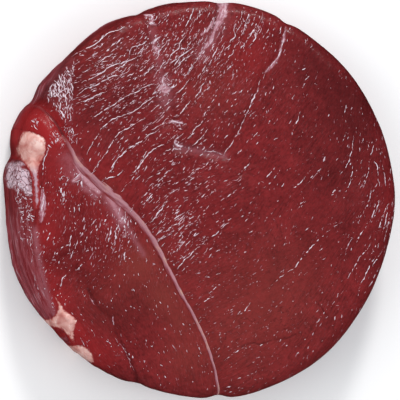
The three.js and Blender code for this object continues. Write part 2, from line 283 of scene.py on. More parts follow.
# Even lattice of triangles, kept where side is negative and cut along the line where it is nought
def trimmedLattice(side, low, high, spacing):
    rowStep = spacing * np.sqrt(3) / 2
    columns = int((high[0] - low[0]) / spacing) + 3
    rows = int((high[1] - low[1]) / rowStep) + 3
    j, i = np.mgrid[0:rows, 0:columns]
    x = low[0] + (i - 0.5 * (j % 2)) * spacing
    y = low[1] + j * rowStep
    points = np.stack([x.ravel(), y.ravel()], axis=1)
    index = j * columns + i
    a, b, c, d = (corner.ravel() for corner in
                  (index[:-1, :-1], index[:-1, 1:], index[1:, :-1], index[1:, 1:]))
    even = (j[:-1, :-1] % 2 == 0).ravel()
    triangles = np.vstack([np.stack([a, b, np.where(even, d, c)], axis=1),
                           np.stack([np.where(even, a, b), d, c], axis=1)])

    s = side(points[:, 0], points[:, 1])
    near = np.abs(s) < 0.3 * spacing
    points[near] = ontoLine(side, points[near])
    s[near] = 0
    inside = s <= 0
    kept = inside[triangles].sum(axis=1)
    whole = triangles[kept == 3]
    middle = points[whole].mean(axis=1)
    whole = whole[side(middle[:, 0], middle[:, 1]) < 0]

    # Cut triangles are turned so that the odd corner is the last of two inside or the first of one
    def turned(some, first):
        return some[np.arange(len(some))[:, None], (first[:, None] + np.arange(3)) % 3]

    two = triangles[kept == 2]
    two = turned(two, np.argmin(inside[two], axis=1) + 1)
    one = triangles[kept == 1]
    one = turned(one, np.argmax(inside[one], axis=1))
    crossings = np.vstack([two[:, [1, 2]], two[:, [0, 2]], one[:, [0, 1]], one[:, [0, 2]]])
    keys = crossings[:, 0] * len(points) + crossings[:, 1]
    unique, place = np.unique(keys, return_inverse=True)
    start, end = unique // len(points), unique % len(points)
    share = (s[start] / (s[start] - s[end]))[:, None]
    added = ontoLine(side, points[start] * (1 - share) + points[end] * share)
    cut = np.where(s[crossings[:, 0]] == 0, crossings[:, 0], len(points) + place)
    bc, ac, ab, ad = np.split(cut, np.cumsum([len(two), len(two), len(one)]))
    triangles = np.vstack([
        whole,
        np.stack([two[:, 0], two[:, 1], bc], axis=1),
        np.stack([two[:, 0], bc, ac], axis=1),
        np.stack([one[:, 0], ab, ad], axis=1),
    ])
    t = triangles
    triangles = t[(t[:, 0] != t[:, 1]) & (t[:, 1] != t[:, 2]) & (t[:, 2] != t[:, 0])]
    used, triangles = np.unique(triangles, return_inverse=True)
    return np.vstack([points, added])[used], triangles.reshape(-1, 3)


# Plan coordinates of the model's origin: the middle of the box round the rim and the wall
def planMiddle():
    angle = np.radians(np.arange(0, 360, 3))
    rim = rimRadius(angle)
    rimHeight = faceHeight(rim * np.cos(angle), rim * np.sin(angle))
    reach = []
    for share in wallShares:
        z = share * rimHeight
        r = rim - np.interp(share, wallShares, wallInsets)
        for count, height, phase, twist in wallWaves:
            r = r + height * (1 - share) * np.sin(count * angle + phase + twist * share)
        reach.append(np.stack([r * np.cos(angle) + steakSizes["leanX"] * (1 - share),
                               r * np.sin(angle) + steakSizes["leanY"] * (1 - share)], axis=1))
    reach = np.vstack(reach)
    return (reach.min(axis=0) + reach.max(axis=0)) / 2


middle = planMiddle()
print("plan middle", middle)


# A piece of the slice that runs through it: the lattice under side = nought is its upper face, and
# rows of points go down from its edge to the floor. Near the rim they follow the wall.
def throughPiece(name, side, height, spacing, rowCount, low, high):
    def withinRim(x, y):
        return np.maximum(side(x, y), rimSide(x, y))

    plan, triangles = trimmedLattice(withinRim, low, high, spacing)
    x, y = plan.T
    z = height(x, y)
    count = len(plan)
    edges = np.vstack([triangles[:, [0, 1]], triangles[:, [1, 2]], triangles[:, [2, 0]]])
    keys, back = edges[:, 0] * count + edges[:, 1], edges[:, 1] * count + edges[:, 0]
    rimEdges = edges[~np.isin(keys, back)]
    border = np.unique(rimEdges)
    place = np.zeros(count, int)
    place[border] = np.arange(len(border))

    bx, by, bz = x[border], y[border], z[border]
    angle, r = np.arctan2(by, bx), np.hypot(bx, by)
    atRim = ease(rimSide(bx, by), -9, -0.05)
    drop = rollAt(angle)[1]
    rimHeight = bz - drop * np.sqrt(1 - edgeShare ** 2) * atRim
    shares = 1 - (np.arange(1, rowCount + 1) / rowCount) ** 1.25
    rows = []
    for share in shares:
        rz = share * bz
        out = wallOffset(angle, rz, rimHeight) * atRim
        foot = atRim * (1 - np.clip(rz / rimHeight, 0, 1))
        rows.append(np.stack([(r + out) * np.cos(angle) + steakSizes["leanX"] * foot,
                              (r + out) * np.sin(angle) + steakSizes["leanY"] * foot, rz], axis=1))
    points = np.vstack([np.stack([x, y, z], axis=1)] + rows)

    quads = []
    a, b = rimEdges.T
    above = (a, b)
    for k in range(rowCount):
        below = (count + k * len(border) + place[a], count + k * len(border) + place[b])
        quads.append(np.stack([above[1], above[0], below[0], below[1]], axis=1))
        above = below
    mesh = bpy.data.meshes.new(name)
    faces = triangles.tolist() + np.vstack(quads).tolist()
    scaled = (points - [middle[0], middle[1], 0]) * mm
    mesh.from_pydata(scaled.tolist(), [], faces)
    shape = bmesh.new()
    shape.from_mesh(mesh)
    bmesh.ops.holes_fill(shape, edges=[e for e in shape.edges if e.is_boundary], sides=0)
    bmesh.ops.recalc_face_normals(shape, faces=shape.faces)
    shape.to_mesh(mesh)
    shape.free()
    mesh.shade_smooth()
    mesh.set_sharp_from_angle(angle=np.radians(58))
    piece = bpy.data.objects.new(name, mesh)
    bpy.context.scene.collection.objects.link(piece)
    print(name, len(points), "points,", len(faces), "faces")
    return piece, points


# Values kept at each point of a piece, for its material to read
def keepAtPoints(piece, name, values):
    kind = "FLOAT" if np.ndim(values) == 1 else "FLOAT_VECTOR"
    field = "value" if kind == "FLOAT" else "vector"
    attribute = piece.data.attributes.new(name, kind, "POINT")
    attribute.data.foreach_set(field, np.ascontiguousarray(values, np.float32).ravel())


# Way the fibres run on the cut face: x, y, and the angle in degrees
topsideGrain = [
    (-42, 53, 28), (-44, 43, 24), (-38, 36, 26), (-33, 50, 36), (-25, 44, 36), (-22, 62, 48),
    (-18, 50, 50), (-9, 50, 60), (-4, 60, 62), (-7, 39, 48), (-38, 28, 45), (-38, 17, 63),
    (-33, 18, 57), (-27, 21, 44), (-18, 32, 35), (-17, 24, 38), (-22, 14, 50), (-31, 11, 60),
    (-13, 12, 38), (-4, 18, 45), (4, 43, 54), (2, 32, 50), (15, 64, 70), (25, 66, 73), (18, 55, 62),
    (27, 36, 60), (22, 21, 48), (33, 16, 47), (44, 18, 58), (40, 43, 62), (53, 27, 74), (54, 18, 70),
    (64, 18, 80), (51, 4, 52), (40, 9, 50), (24, 12, 45), (9, 4, 36), (2, 9, 32), (4, -12, 38),
    (5, -25, 32), (11, -32, 30), (27, -11, 50), (45, -2, 46), (42, -14, 45), (36, -21, 42),
    (57, -11, 65), (67, -14, 76), (60, -27, 67), (47, -36, 55), (42, -43, 58), (36, -59, 56),
    (16, -36, 43), (15, -53, 35), (15, -61, 30), (27, -62, 43), (-9, -10, 48),
]
innerGrain = [
    (-36, -14, 75), (-29, -18, 75), (-51, -5, 80), (-56, -18, 50), (-47, -27, 50), (-36, -25, 62),
    (-18, -21, 100), (-13, -36, 112), (-25, -43, 120), (-33, -53, 125), (-7, -53, 110),
    (-44, -43, 130), (-44, 4, 85), (-51, 18, 60),
]
outerGrain = [(-64, 0, 95), (-58, -40, 110)]


# Way of the fibres at a place, in degrees: the mean of the given ways, weighted by nearness
def grainAngle(known, x, y):
    known = np.array(known, float)
    away = (np.ravel(x)[:, None] - known[:, 0]) ** 2 + (np.ravel(y)[:, None] - known[:, 1]) ** 2
    weight = 1 / (away + 14) ** 2
    twice = np.radians(2 * known[:, 2])
    angle = np.degrees(np.arctan2(weight @ np.sin(twice), weight @ np.cos(twice))) / 2
    return np.reshape(angle % 180, np.shape(x))


# Lines and patches of marks are given in the photograph's pixels to the right and down. The
# camera's tilt makes a pixel stand for a little more across than along. Lists from the veils on are
# in mm on the cut face.
photo = {"middle": 200, "mmPerPixel": 0.3553, "tilt": 12}


# Lines of marks in mm. A third value of a place, half the width there in mm, stays as it is.
def fromPhoto(lines):
    along = photo["mmPerPixel"]
    across = along / np.cos(np.radians(photo["tilt"]))
    return [[((right - photo["middle"]) * across, (photo["middle"] - down) * along, *half)
             for right, down, *half in line] for line in lines]


# The long white lines of the topside muscle, each from its lower left end
longLines = fromPhoto([
    [(76, 58), (88, 52), (100, 45), (104, 41), (112, 36), (118, 33), (128, 29)],
    [(128, 60), (131, 52), (138, 48), (148, 43)],
    [(83, 86), (94, 80), (104, 74), (112, 69), (130, 63), (138, 58)],
    [(78, 98), (90, 90), (100, 86), (112, 80), (120, 78), (128, 74)],
    [(88, 125), (96, 118), (106, 111), (118, 104), (128, 98), (136, 94), (146, 88), (157, 87)],
    [(88, 156), (92, 146), (100, 134), (108, 125), (118, 118), (128, 115), (138, 110), (157, 94)],
    [(94, 172), (102, 160), (110, 148), (116, 138), (122, 132), (130, 128), (140, 122), (148, 118)],
    [(110, 174), (114, 164), (120, 158), (128, 150), (138, 144), (146, 136), (154, 132), (166, 124)],
    [(132, 174), (138, 168), (144, 158), (152, 150), (168, 142)],
    [(172, 118), (177, 117), (181, 112), (185, 106), (189, 102)],
    [(190, 106), (193, 103), (195, 97), (198, 93), (199, 89), (201, 85), (204, 83)],
    [(148, 222), (153, 218), (155, 214), (160, 209), (163, 204), (169, 199)],
    [(174, 270), (180, 262), (186, 256), (198, 246)],
    [(160, 69), (165, 65), (168, 60), (170, 57), (177, 52), (179, 45), (181, 42), (186, 36)],
    [(187, 77), (188, 72), (192, 66), (197, 61)], [(168, 68), (174, 62), (184, 54), (192, 48)],
    [(184, 30), (185, 27), (188, 21), (190, 16), (192, 10)],
    [(185, 139), (188, 137), (191, 133), (193, 129), (196, 127), (199, 124), (203, 118)],
    [(190, 147), (194, 144), (196, 141), (199, 138), (204, 132)],
    [(150, 132), (154, 130), (158, 127), (161, 125), (164, 121), (167, 119)],
    [(102, 182), (108, 178), (116, 176), (122, 170)],
    [(130, 177), (136, 171), (138, 167), (140, 163), (146, 152)],
    [(156, 241), (163, 236), (169, 232)], [(237, 54), (239, 49), (241, 45), (238, 42)],
    [(222, 52), (227, 46), (228, 42), (232, 39), (233, 37), (232, 34), (233, 27), (235, 22)],
    [(248, 39), (251, 32), (253, 28)], [(247, 46), (252, 41), (254, 33)],
    [(239, 19), (240, 14), (241, 10)], [(200, 242), (212, 234), (218, 228), (228, 223)],
    [(238, 218), (241, 215), (240, 211)], [(96, 66), (106, 60), (118, 56)],
    [(84, 76), (96, 70), (108, 64)], [(80, 106), (92, 100), (108, 94)],
    [(142, 78), (148, 72), (156, 66)], [(176, 70), (182, 62), (190, 56)],
    [(196, 80), (202, 70), (206, 62)], [(206, 66), (212, 56), (216, 48)],
    [(174, 96), (180, 90), (188, 80)],
])
# Its lines that are rows of short dashes
dottedLines = fromPhoto([
    [(139, 209), (144, 203), (150, 196), (156, 190), (165, 185)], [(176, 242), (186, 238), (198, 232)],
    [(178, 224), (184, 220), (192, 216)], [(160, 234), (170, 226), (180, 222)],
    [(120, 192), (128, 184), (140, 176)], [(146, 180), (158, 174), (170, 170)],
    [(200, 120), (206, 110), (212, 100), (218, 88)], [(288, 138), (294, 122), (299, 108)],
    [(252, 186), (262, 180), (266, 174), (274, 166)], [(284, 194), (296, 184), (306, 172), (310, 166)],
    [(338, 176), (349, 156), (352, 134)], [(358, 188), (366, 176), (370, 152), (376, 138)],
    [(376, 176), (380, 160), (384, 148)], [(340, 196), (350, 180), (352, 164)],
    [(340, 144), (344, 130)], [(372, 218), (376, 210), (378, 200)],
    [(356, 300), (358, 284), (364, 278)], [(220, 360), (238, 348), (250, 346)],
    [(266, 288), (282, 274), (292, 268), (298, 260), (308, 248), (320, 236), (340, 222)],
    [(312, 326), (318, 318), (332, 302), (338, 292)], [(228, 378), (240, 376), (248, 374), (254, 370)],
    [(236, 316), (248, 302)], [(200, 264), (212, 252), (222, 248)], [(202, 276), (210, 275), (218, 272)],
    [(206, 292), (216, 284), (226, 280)], [(200, 300), (212, 296)], [(204, 312), (216, 306)],
])
# Its thin lines near the rim on the right
rimLines = fromPhoto([
    [(391, 212), (389, 226), (385, 242)], [(388, 204), (386, 218), (382, 232)],
    [(377, 200), (373, 212), (368, 222)], [(366, 223), (360, 234), (353, 245)],
    [(371, 241), (364, 251), (357, 260), (346, 279)], [(374, 258), (368, 268), (362, 278), (357, 289)],
    [(384, 249), (378, 258), (371, 267)], [(380, 268), (374, 280), (368, 288)],
    [(386, 186), (384, 174), (380, 160)], [(378, 186), (377, 172), (372, 158)],
    [(362, 214), (368, 200), (370, 190)],
])
# White seams of connective tissue in the topside muscle, with half their width
whiteSeams = fromPhoto([
    [(285, 27, 0.12), (283, 33, 0.3), (282, 40, 0.4), (280, 46, 0.2), (279, 51, 0.35), (277, 57, 0.25),
     (271, 64, 0.45), (263, 73, 0.15)],
    [(263, 73, 0.12), (257, 84, 0.14), (251, 100, 0.3), (246, 111, 0.16), (242, 119, 0.3),
     (237, 130, 0.22), (226, 148, 0.28), (222, 156, 0.4)],
    [(203, 152, 0.12), (214, 153, 0.2), (222, 156, 0.3)],
    [(147, 16.5, 0.25), (151, 17, 0.3), (153.6, 19, 0.3), (152, 22.5, 0.32), (150, 24, 0.2)],
    [(146, 24, 0.2), (149, 26, 0.33), (155, 27, 0.25)], [(153, 45, 0.5), (156, 42, 0.35), (160, 39, 0.12)],
    [(154, 49, 0.2), (157, 52, 0.4), (157.4, 56, 0.3)],
    [(162.5, 78, 0.15), (162, 83, 0.3), (162.5, 88, 0.35)],
    [(162.5, 78, 0.12), (165, 77.6, 0.15), (169, 73, 0.1)],
    [(169, 90, 0.3), (172, 87.6, 0.3), (172.5, 84.5, 0.12)],
    [(150, 97, 0.1), (154, 94, 0.25), (158.4, 92, 0.3)],
    [(165, 94, 0.3), (166.3, 98, 0.1)],
    [(166, 124, 0.15), (171, 122, 0.35), (176, 124, 0.3), (182.5, 124, 0.1)],
    [(177, 138, 0.2), (173, 140, 0.25), (172.5, 143.3, 0.3), (175, 146, 0.35), (179, 147, 0.35),
     (183, 146.4, 0.15)],
    [(175, 139.5, 0.15), (180, 136.4, 0.22), (182, 134.5, 0.12)], [(176, 130, 0.25), (181, 130, 0.2)],
    [(162, 154.5, 0.15), (166, 151, 0.2), (171, 149, 0.25), (177.5, 150, 0.2)],
    [(170, 152, 0.15), (173, 148, 0.2), (175, 150, 0.2)], [(116, 48, 0.2), (119, 45, 0.35), (122, 42, 0.2)],
    [(239, 37, 0.3), (242, 30, 0.2), (244, 23, 0.45), (246, 16, 0.45), (249, 11, 0.2)],
    [(320, 162, 0.1), (321, 159, 0.45), (323, 156, 0.15)],
    [(238, 173, 0.12), (243, 167, 0.32), (247, 163, 0.12)],
    [(179, 51, 0.12), (182, 50.5, 0.25), (184, 51, 0.1)],
])
# White threads of the inner muscle, with half their width
innerSeams = fromPhoto([
    [(75.5, 180, 0.12), (79, 177.5, 0.22), (82, 174, 0.24), (84, 171, 0.12)],
    [(76, 183, 0.1), (79, 182, 0.18), (82.5, 180, 0.1)],
    [(66, 186, 0.12), (63.5, 188, 0.26), (63.5, 192, 0.34), (65.5, 197, 0.26), (64.5, 204, 0.12)],
    [(62, 181, 0.12), (64, 177.5, 0.24), (66.5, 176.5, 0.28), (69.5, 178.5, 0.18), (70, 182, 0.1)],
    [(71, 269, 0.1), (65, 279, 0.22), (62, 287, 0.12)], [(51, 150, 0.1), (48, 163, 0.2), (46, 177, 0.12)],
    [(46.5, 186, 0.12), (47.5, 200, 0.26), (44.5, 214, 0.2)],
    [(129, 216, 0.2), (130, 221, 0.35), (130, 225, 0.25)], [(135, 219, 0.2), (135.5, 224, 0.3)],
    [(125, 210, 0.1), (124.5, 220, 0.25), (125, 225, 0.2)],
    [(127, 204, 0.1), (132, 208, 0.14), (136, 213, 0.14), (139, 220, 0.14)],
    [(118, 224, 0.12), (116, 232, 0.28), (117, 238, 0.15)],
])
# Faint thread in the crease of the inner muscle
faintSeams = fromPhoto([
    [(112, 330, 0.08), (118, 338, 0.12), (124, 346, 0.13), (130, 358, 0.13), (136, 370, 0.1)],
])
# Pale patches of membrane with a crisp edge, with half their width
palePatches = fromPhoto([
    [(223, 4, 1.9), (222, 12, 1.75), (219, 20, 1.15), (216, 26, 0.9), (211.6, 35, 0.5), (208.4, 43.5, 0.75),
     (203, 49, 0.4), (199.4, 55, 0.3), (197.5, 60, 0.2)],
    [(212, 20.6, 0.3), (210.6, 25, 0.5), (206, 30.6, 0.45), (199, 37.5, 0.15)],
    [(157.5, 92, 0.35), (161, 91, 1.1), (165, 91, 1.2), (170, 90, 0.3)],
    [(162.5, 79, 0.25), (162, 84, 0.5), (163, 90, 1.1)],
    [(153, 45, 0.5), (156, 42, 0.35), (160, 39, 0.12)],
    [(153, 49, 0.35), (156.6, 52.5, 0.65), (157.4, 56, 0.4)],
    [(285, 27, 0.08), (283, 34, 0.25), (282, 40, 0.5), (280, 45, 0.12), (279, 50, 0.4), (278, 55, 0.15),
     (274, 61, 0.45), (268, 68, 0.5), (263, 73, 0.12)],
    [(147, 17, 0.5), (152, 18.5, 0.55), (152, 23, 0.5), (150, 26, 0.4), (155, 27, 0.3)],
    [(174, 141, 0.3), (174, 145, 0.5), (180, 147, 0.4)], [(168, 123, 0.2), (173, 123, 0.5), (180, 124, 0.3)],
    [(46, 190, 0.3), (46.5, 200, 0.9), (46, 212, 0.9), (44.5, 221, 0.3)],
])
# Light veils of membrane: half width, strength, points
veils = [
    (1.5, 1.25, [(-44.4, 13.5), (-42.6, 9.6), (-40, 5.8), (-36.6, 3)]),
    (0.8, 1.2, [(-42.2, 9.8), (-43.8, 7.8), (-45.4, 6.6)]),
    (1.2, 0.8, [(-42, 4.6), (-39.5, 3), (-37.5, 1.2)]),
    (2, 1, [(-33, 0.8), (-30.4, -3.2), (-28.2, -7.6)]), (1, 0.5, [(-27, -9), (-24.5, -13), (-21, -19)]),
    (2.6, 0.6, [(-14, 42), (-13.4, 38), (-13.2, 35)]),
    (1.3, 0.45, [(8, 15.5), (0, 17), (-9, 18.5)]), (3, 0.5, [(-47, 14), (-45, 9)]),
    (2.4, 0.4, [(9.4, 74), (6.3, 62), (0, 51)]),
    (1.5, 0.35, [(-17.5, 60), (-14, 41), (-12.5, 35)]),
    (1.1, 0.7, [(-58.5, -10), (-57.6, -18), (-56, -26), (-53.8, -34), (-51.6, -40)]),
]
# Creases, with half their width: sunk into the face and darkened with painted shade
creases = [
    (0.35, [(6, 72), (5.7, 66.6), (5, 64.4), (4.3, 61.5), (2.7, 59.1)]),
    (0.6, [(-40, -31), (-36.5, -37), (-33, -41.5), (-27.5, -51), (-23.5, -60), (-20.5, -68)]),
    (0.25, [(14, -51.8), (18, -50.4), (21, -51), (25, -49.6), (30, -49), (34, -47.6)]),
    (0.2, [(23, -44.5), (27, -46), (31, -45.4)]), (0.2, [(39, -34), (43, -38), (45, -41)]),
]
# Where fine dark veins show: x, y, spread, amount
veinPlaces = [(26, -42, 18, 0.7), (30, -8, 14, 0.6), (40, 20, 16, 0.3), (4, -50, 12, 0.4)]
# The patch of wrinkled, shining membrane at the upper left, and the one on the outer muscle
sheenRing = smoothLine([(-66, 40), (-60, 55), (-45.4, 54), (-45.4, 40), (-45.6, 27), (-49, 27.5),
                        (-54, 35)], 60, closed=True)
wrinkleRing = smoothLine([(-67, 12), (-64, 14), (-61, 10.5), (-59, 6), (-58, 2.5), (-60, 1.2),
                          (-63.5, 4), (-66, 6)], 40, closed=True)
# Where the wall's finish starts higher: angle and spread in degrees, how much higher
highWalls = [(140, 8, 11)]
# Where the outer muscle is bare of membrane: x, y, spread, amount
barePlaces = [(-68, 21, 8, 1.3), (-67, 2, 8, 0.7), (-61, -6, 5, 0.4)]
# Slow changes of the flesh's colour: x, y, spread, amount
redPlaces = [
    (-58, 29, 8, 0.8), (-52, 22, 6, 0.6), (-70, 22, 6, 0.9), (-54, -2, 5, 0.4), (-54, -14, 6, 0.6),
    (-55, -25, 5, 0.5), (-52, -35, 6, 0.7), (-45, -47, 6, 0.6), (-37, -55, 7, 0.5), (-54, -52, 8, 0.5),
    (72, -4, 10, 0.2), (-50, 10, 7, 0.4), (-40, -10, 14, 0.2), (-28, 12, 12, 0.2), (18, 50, 8, 0.3),
]
# Darker flesh in places; the first place is painted shade in the gap left of the upper fat
darkAndShadedPlaces = [
    (-67.3, 17, 3, 1.3), (-52, -20, 5, 0.3), (-44, -14, 10, 0.35), (-60, 40, 8, 0.3),
    (-36, -40, 5, 0.3), (58, 34, 16, 0.6), (40, 50, 14, 0.4), (56, -2, 20, 0.28), (44, 14, 12, 0.12),
    (-33, 26, 12, 0.25), (-26, -38, 9, 0.2), (-16, 10, 10, 0.2), (-53, 42, 9, 0.6), (-30, 42, 14, 0.12),
]
warmPlaces = [
    (-22, -22, 8, 0.6), (-14, -34, 6, 0.5), (-8, -42, 5, 0.3), (-34, 3, 5, 0.3), (-6, -55, 8, 0.3),
    (-34, 50, 10, 0.2), (4, 40, 12, 0.2), (14, -44, 24, 0.3), (30, -28, 18, 0.2), (-34, -34, 12, 0.2),
]
# Where the fat is nearly white: x, y, spread, amount; at the upper right of the upper fat this is partly
# painted highlight
whitePlaces = [(-57.2, 19.8, 2.2, 0.75), (-46, -42, 2.4, 0.25), (-41, -55, 3, 0.3)]


# Amount at a place: a base and a bell for each listed place
def amountAt(base, places, x, y):
    bells = sum(amount * bell(np.hypot(x - px, y - py), spread) for px, py, spread, amount in places)
    return np.clip(base + bells + 0 * x, 0, 1)


# For each place: signed distance to the nearest of the lines, positive on its left, and its size
def besideLines(lines, x, y, reach=2.5):
    beside, away = np.full(np.shape(x), reach), np.full(np.shape(x), reach)
    for points in lines:
        line = smoothLine([point[:2] for point in points], 20)
        low, high = line.min(axis=0) - reach, line.max(axis=0) + reach
        near = np.flatnonzero((x > low[0]) & (x < high[0]) & (y > low[1]) & (y < high[1]))
        signed = nearestOn(line, x[near], y[near])[0]
        closer = np.abs(signed) < away[near]
        beside[near[closer]] = signed[closer]
        away[near[closer]] = np.abs(signed[closer])
    return beside, away


# Relief of the cut faces in mm: depths, and heights and sizes of the unevenness along X and Y
relief = {
    "furrow": 0.13, "crease": 0.25, "slow": (0.24, 8), "middle": (0.12, 3.3), "fine": (0.06, 1.4),
    "sheen": 0.2, "folds": 0.2, "wrinkles": 0.35, "streaks": (0.15, 4, 4), "fineStreaks": (0.1, 1.5, 3),
}


# Strength of the creases at a place: bells across them, fading in and out along them
def creaseAt(x, y):
    strength = 0
    for half, line in creases:
        strength = np.maximum(strength, bell(nearestOn(smoothLine(line, 20), x, y)[0], half))
    return strength * ease(noise(x / 4, y / 4, 21), -0.9, 0)


# Relief of the cut flesh: a furrow on the right of each long line, creases, and soft unevenness
def fleshRelief(lines, x, y, seed):
    beside, away = besideLines(lines, x, y)
    total = -relief["furrow"] * bell(beside + 0.7, 0.8) * ease(away, 2.4, 1.5)
    total = total - relief["crease"] * creaseAt(x, y)
    for k, name in enumerate(("slow", "middle", "fine")):
        height, width = relief[name]
        total = total + height * noise(x / width, y / width, seed + k)
    return total


# Topside muscle: the cut face with its relief, curled up where the membrane shines
def topsideHeight(x, y):
    curled = ease(-ringSide(sheenRing, x, y), -0.5, 1.5) * noise(x / 0.9, y / 1.3, 14)
    return faceHeight(x, y) + fleshRelief(longLines + whiteSeams, x, y, 10) + relief["sheen"] * curled


# Where the inner muscle has small folds: x, y, spread, amount
foldPlaces = [(-50, -18, 14, 0.8), (-34, -10, 10, 0.7)]


# Inner muscle: the cut face with its relief and small folds
def innerHeight(x, y):
    folded = amountAt(0.2, foldPlaces, x, y)
    folds = relief["folds"] * folded * noise(x / 1.3, y / 2.2, 33)
    return faceHeight(x, y) + fleshRelief(innerSeams, x, y, 30) + folds


# Outer muscle: the cut face with shallow streaks, wrinkled under its patch of membrane
def outerHeight(x, y):
    streaks = 0
    for seed, part in ((51, "streaks"), (52, "fineStreaks")):
        rise, width, length = relief[part]
        streaks = streaks + rise * noise(x / width, y / length, seed)
    wrinkles = noise(x / 1.3, y / 1.3, 53) * ease(-ringSide(wrinkleRing, x, y), -0.5, 1)
    return faceHeight(x, y) + streaks + relief["wrinkles"] * wrinkles


# Signed distance to the silverskin's middle line, the way along it and half its width there, which
# varies along each edge
def seamAt(x, y):
    side, along, half = nearestOn(seam, x, y)
    ragged = noise(along / 2.4, np.where(side > 0, 3.5, 9.5), 63)
    return side, along, half * (0.84 + 0.2 * ragged)


# Plan of the topside muscle: all on the right of the silverskin
def topsideSide(x, y):
    side, _, half = seamAt(x, y)
    return half - side


# Plan of the inner muscle: left of the silverskin, right of the outer muscle, less the fat
def innerSide(x, y):
    side, _, half = seamAt(x, y)
    out = np.maximum(side + half, -nearestOn(outer, x, y)[0])
    for ring in fatRings.values():
        out = np.maximum(out, -ringSide(ring, x, y))
    return out


# Plan of the outer muscle: left of the line where it meets the inner one, less the fat
def outerSide(x, y):
    out = nearestOn(outer, x, y)[0]
    for ring in fatRings.values():
        out = np.maximum(out, -ringSide(ring, x, y))
    return out


# The wall's finish: share of the rim's radius that heights are taken from, how far it takes to come
# in going down, and between which distances from the rim it comes in going out
wallFinish = {"inside": 0.9, "depth": 7, "from": -9, "to": -1}


# Share of the wall's finish at a point: 0 on the cut face, 1 well down the wall
def wallShare(x, y, z, start):
    angle = np.arctan2(y, x)
    rim = rimRadius(angle)
    inner = rim * wallFinish["inside"]
    over = faceHeight(inner * np.cos(angle), inner * np.sin(angle))
    for at, spread, higher in highWalls:
        start = start - higher * bell(wrapDegrees(np.degrees(angle) - at), spread)
    share = ease(over - z, start, start + wallFinish["depth"])
    share = share * ease(np.hypot(x, y) - rim, wallFinish["from"], wallFinish["to"])
    return share * (1 - amountAt(0, barePlaces, x, y))


# The values that the lean's material reads at each point of a muscle
def keepMarks(piece, points, grain, lines, wallStart, glint):
    x, y, z = points.T
    beside, away = besideLines(lines, x, y)
    keepAtPoints(piece, "grain", np.stack([grainAngle(grain, x, y), beside, away], axis=1))
    # Darker flesh in places, and painted shade in the creases and in the gap left of the upper fat
    dark = np.maximum(amountAt(0, darkAndShadedPlaces, x, y), 0.6 * creaseAt(x, y))
    tone = [amountAt(0, redPlaces, x, y), dark, amountAt(0, warmPlaces, x, y)]
    keepAtPoints(piece, "tone", np.stack(tone, axis=1))

    inSheen = ease(-ringSide(sheenRing, x, y), -0.5, 0.5)
    veil = 0.12 * inSheen
    for half, strength, line in veils:
        veil = np.maximum(veil, strength * bell(nearestOn(smoothLine(line, 30), x, y)[0], half))
    inWrinkles = -ringSide(wrinkleRing, x, y) + 1.3 * noise(x / 1.6, y / 1.6, 24)
    lobes = ease(inWrinkles, -0.6, 1)
    wall = wallShare(x, y, z, wallStart)
    film = [veil * (1 - wall), lobes, amountAt(*glint, x, y)]
    keepAtPoints(piece, "film", np.stack(film, axis=1))

    pale = 0
    ragged = 1 + 0.35 * noise(x / 0.8, y / 0.8, 23)
    for patch in palePatches:
        beside, _, half = nearestOn(smoothLine(patch, 30), x, y)
        pale = np.maximum(pale, ease(half * ragged - np.abs(beside), -0.15, 0.2))
    keepAtPoints(piece, "pale", pale)
    arc = np.arctan2(y, x)
    if not piece.name.startswith("topside"):
        arc = arc % (2 * np.pi)
    arc = arc * steakSizes["meanRadius"]
    keepAtPoints(piece, "around", np.stack([arc, amountAt(0, veinPlaces, x, y), wall], axis=1))


# Each muscle: spacing of its lattice, rows down its wall, corners of its plan, how far below the face
# the wall's finish starts, and where it has pale flecks, partly painted glints: everywhere, and x, y, spread,
# amount
muscles = {
    "topside_lean": {
        "spacing": 0.46, "rows": 26, "low": (-74, -74), "high": (78, 76), "wallStart": 14,
        "glint": (0.12, [(-20, 50, 22, 0.6), (6, 50, 22, 0.6), (-6, 4, 14, 0.25), (66, -4, 12, 0.4)]),
    },
    "inner_lean": {
        "spacing": 0.36, "rows": 34, "low": (-76, -76), "high": (16, 50), "wallStart": 12,
        "glint": (0.25, [(-40, -12, 18, 0.4)]),
    },
    "outer_lean": {
        "spacing": 0.28, "rows": 60, "low": (-76, -60), "high": (-44, 30), "wallStart": -8,
        "glint": (0.2, []),
    },
}


# A muscle with the values for its material
def makeMuscle(name, side, height, grain, lines):
    own = muscles[name]
    piece, points = throughPiece(name, side, height, own["spacing"], own["rows"], own["low"], own["high"])
    keepMarks(piece, points, grain, lines, own["wallStart"], own["glint"])
    return piece


sheetSizes = {
    "overlap": 0.12,  # the silverskin reaches this far over the muscles beside it
    "spacing": 0.24, "rows": 30, "low": (-74, -76), "high": (14, 50),
    "crown": 0.09, "edge": 0.08, "sink": 0.3, "clearFrom": -48, "clearTo": -44,
}


# Plan of the silverskin: a band along its line
def silverskinSide(x, y):
    side, _, half = seamAt(x, y)
    return np.abs(side) - half - sheetSizes["overlap"]


# Silverskin: a low crown across the sheet, with its edges just under the flesh, sunk at its far end
def silverskinHeight(x, y):
    side, along, half = seamAt(x, y)
    across = np.clip(np.abs(side) / (half + sheetSizes["overlap"]), 0, 1)
    clear = ease(x, sheetSizes["clearFrom"], sheetSizes["clearTo"])
    lift = sheetSizes["crown"] * clear - sheetSizes["sink"] * (1 - clear)
    uneven = 0.12 * noise(along / 3, side / 1.2, 61) + 0.08 * noise(along / 1.1, side / 0.5, 62)
    crown = lift * (1 - across ** 2) - sheetSizes["edge"] * across ** 8
    return faceHeight(x, y) + crown + uneven * ease(across, 1, 0.6)


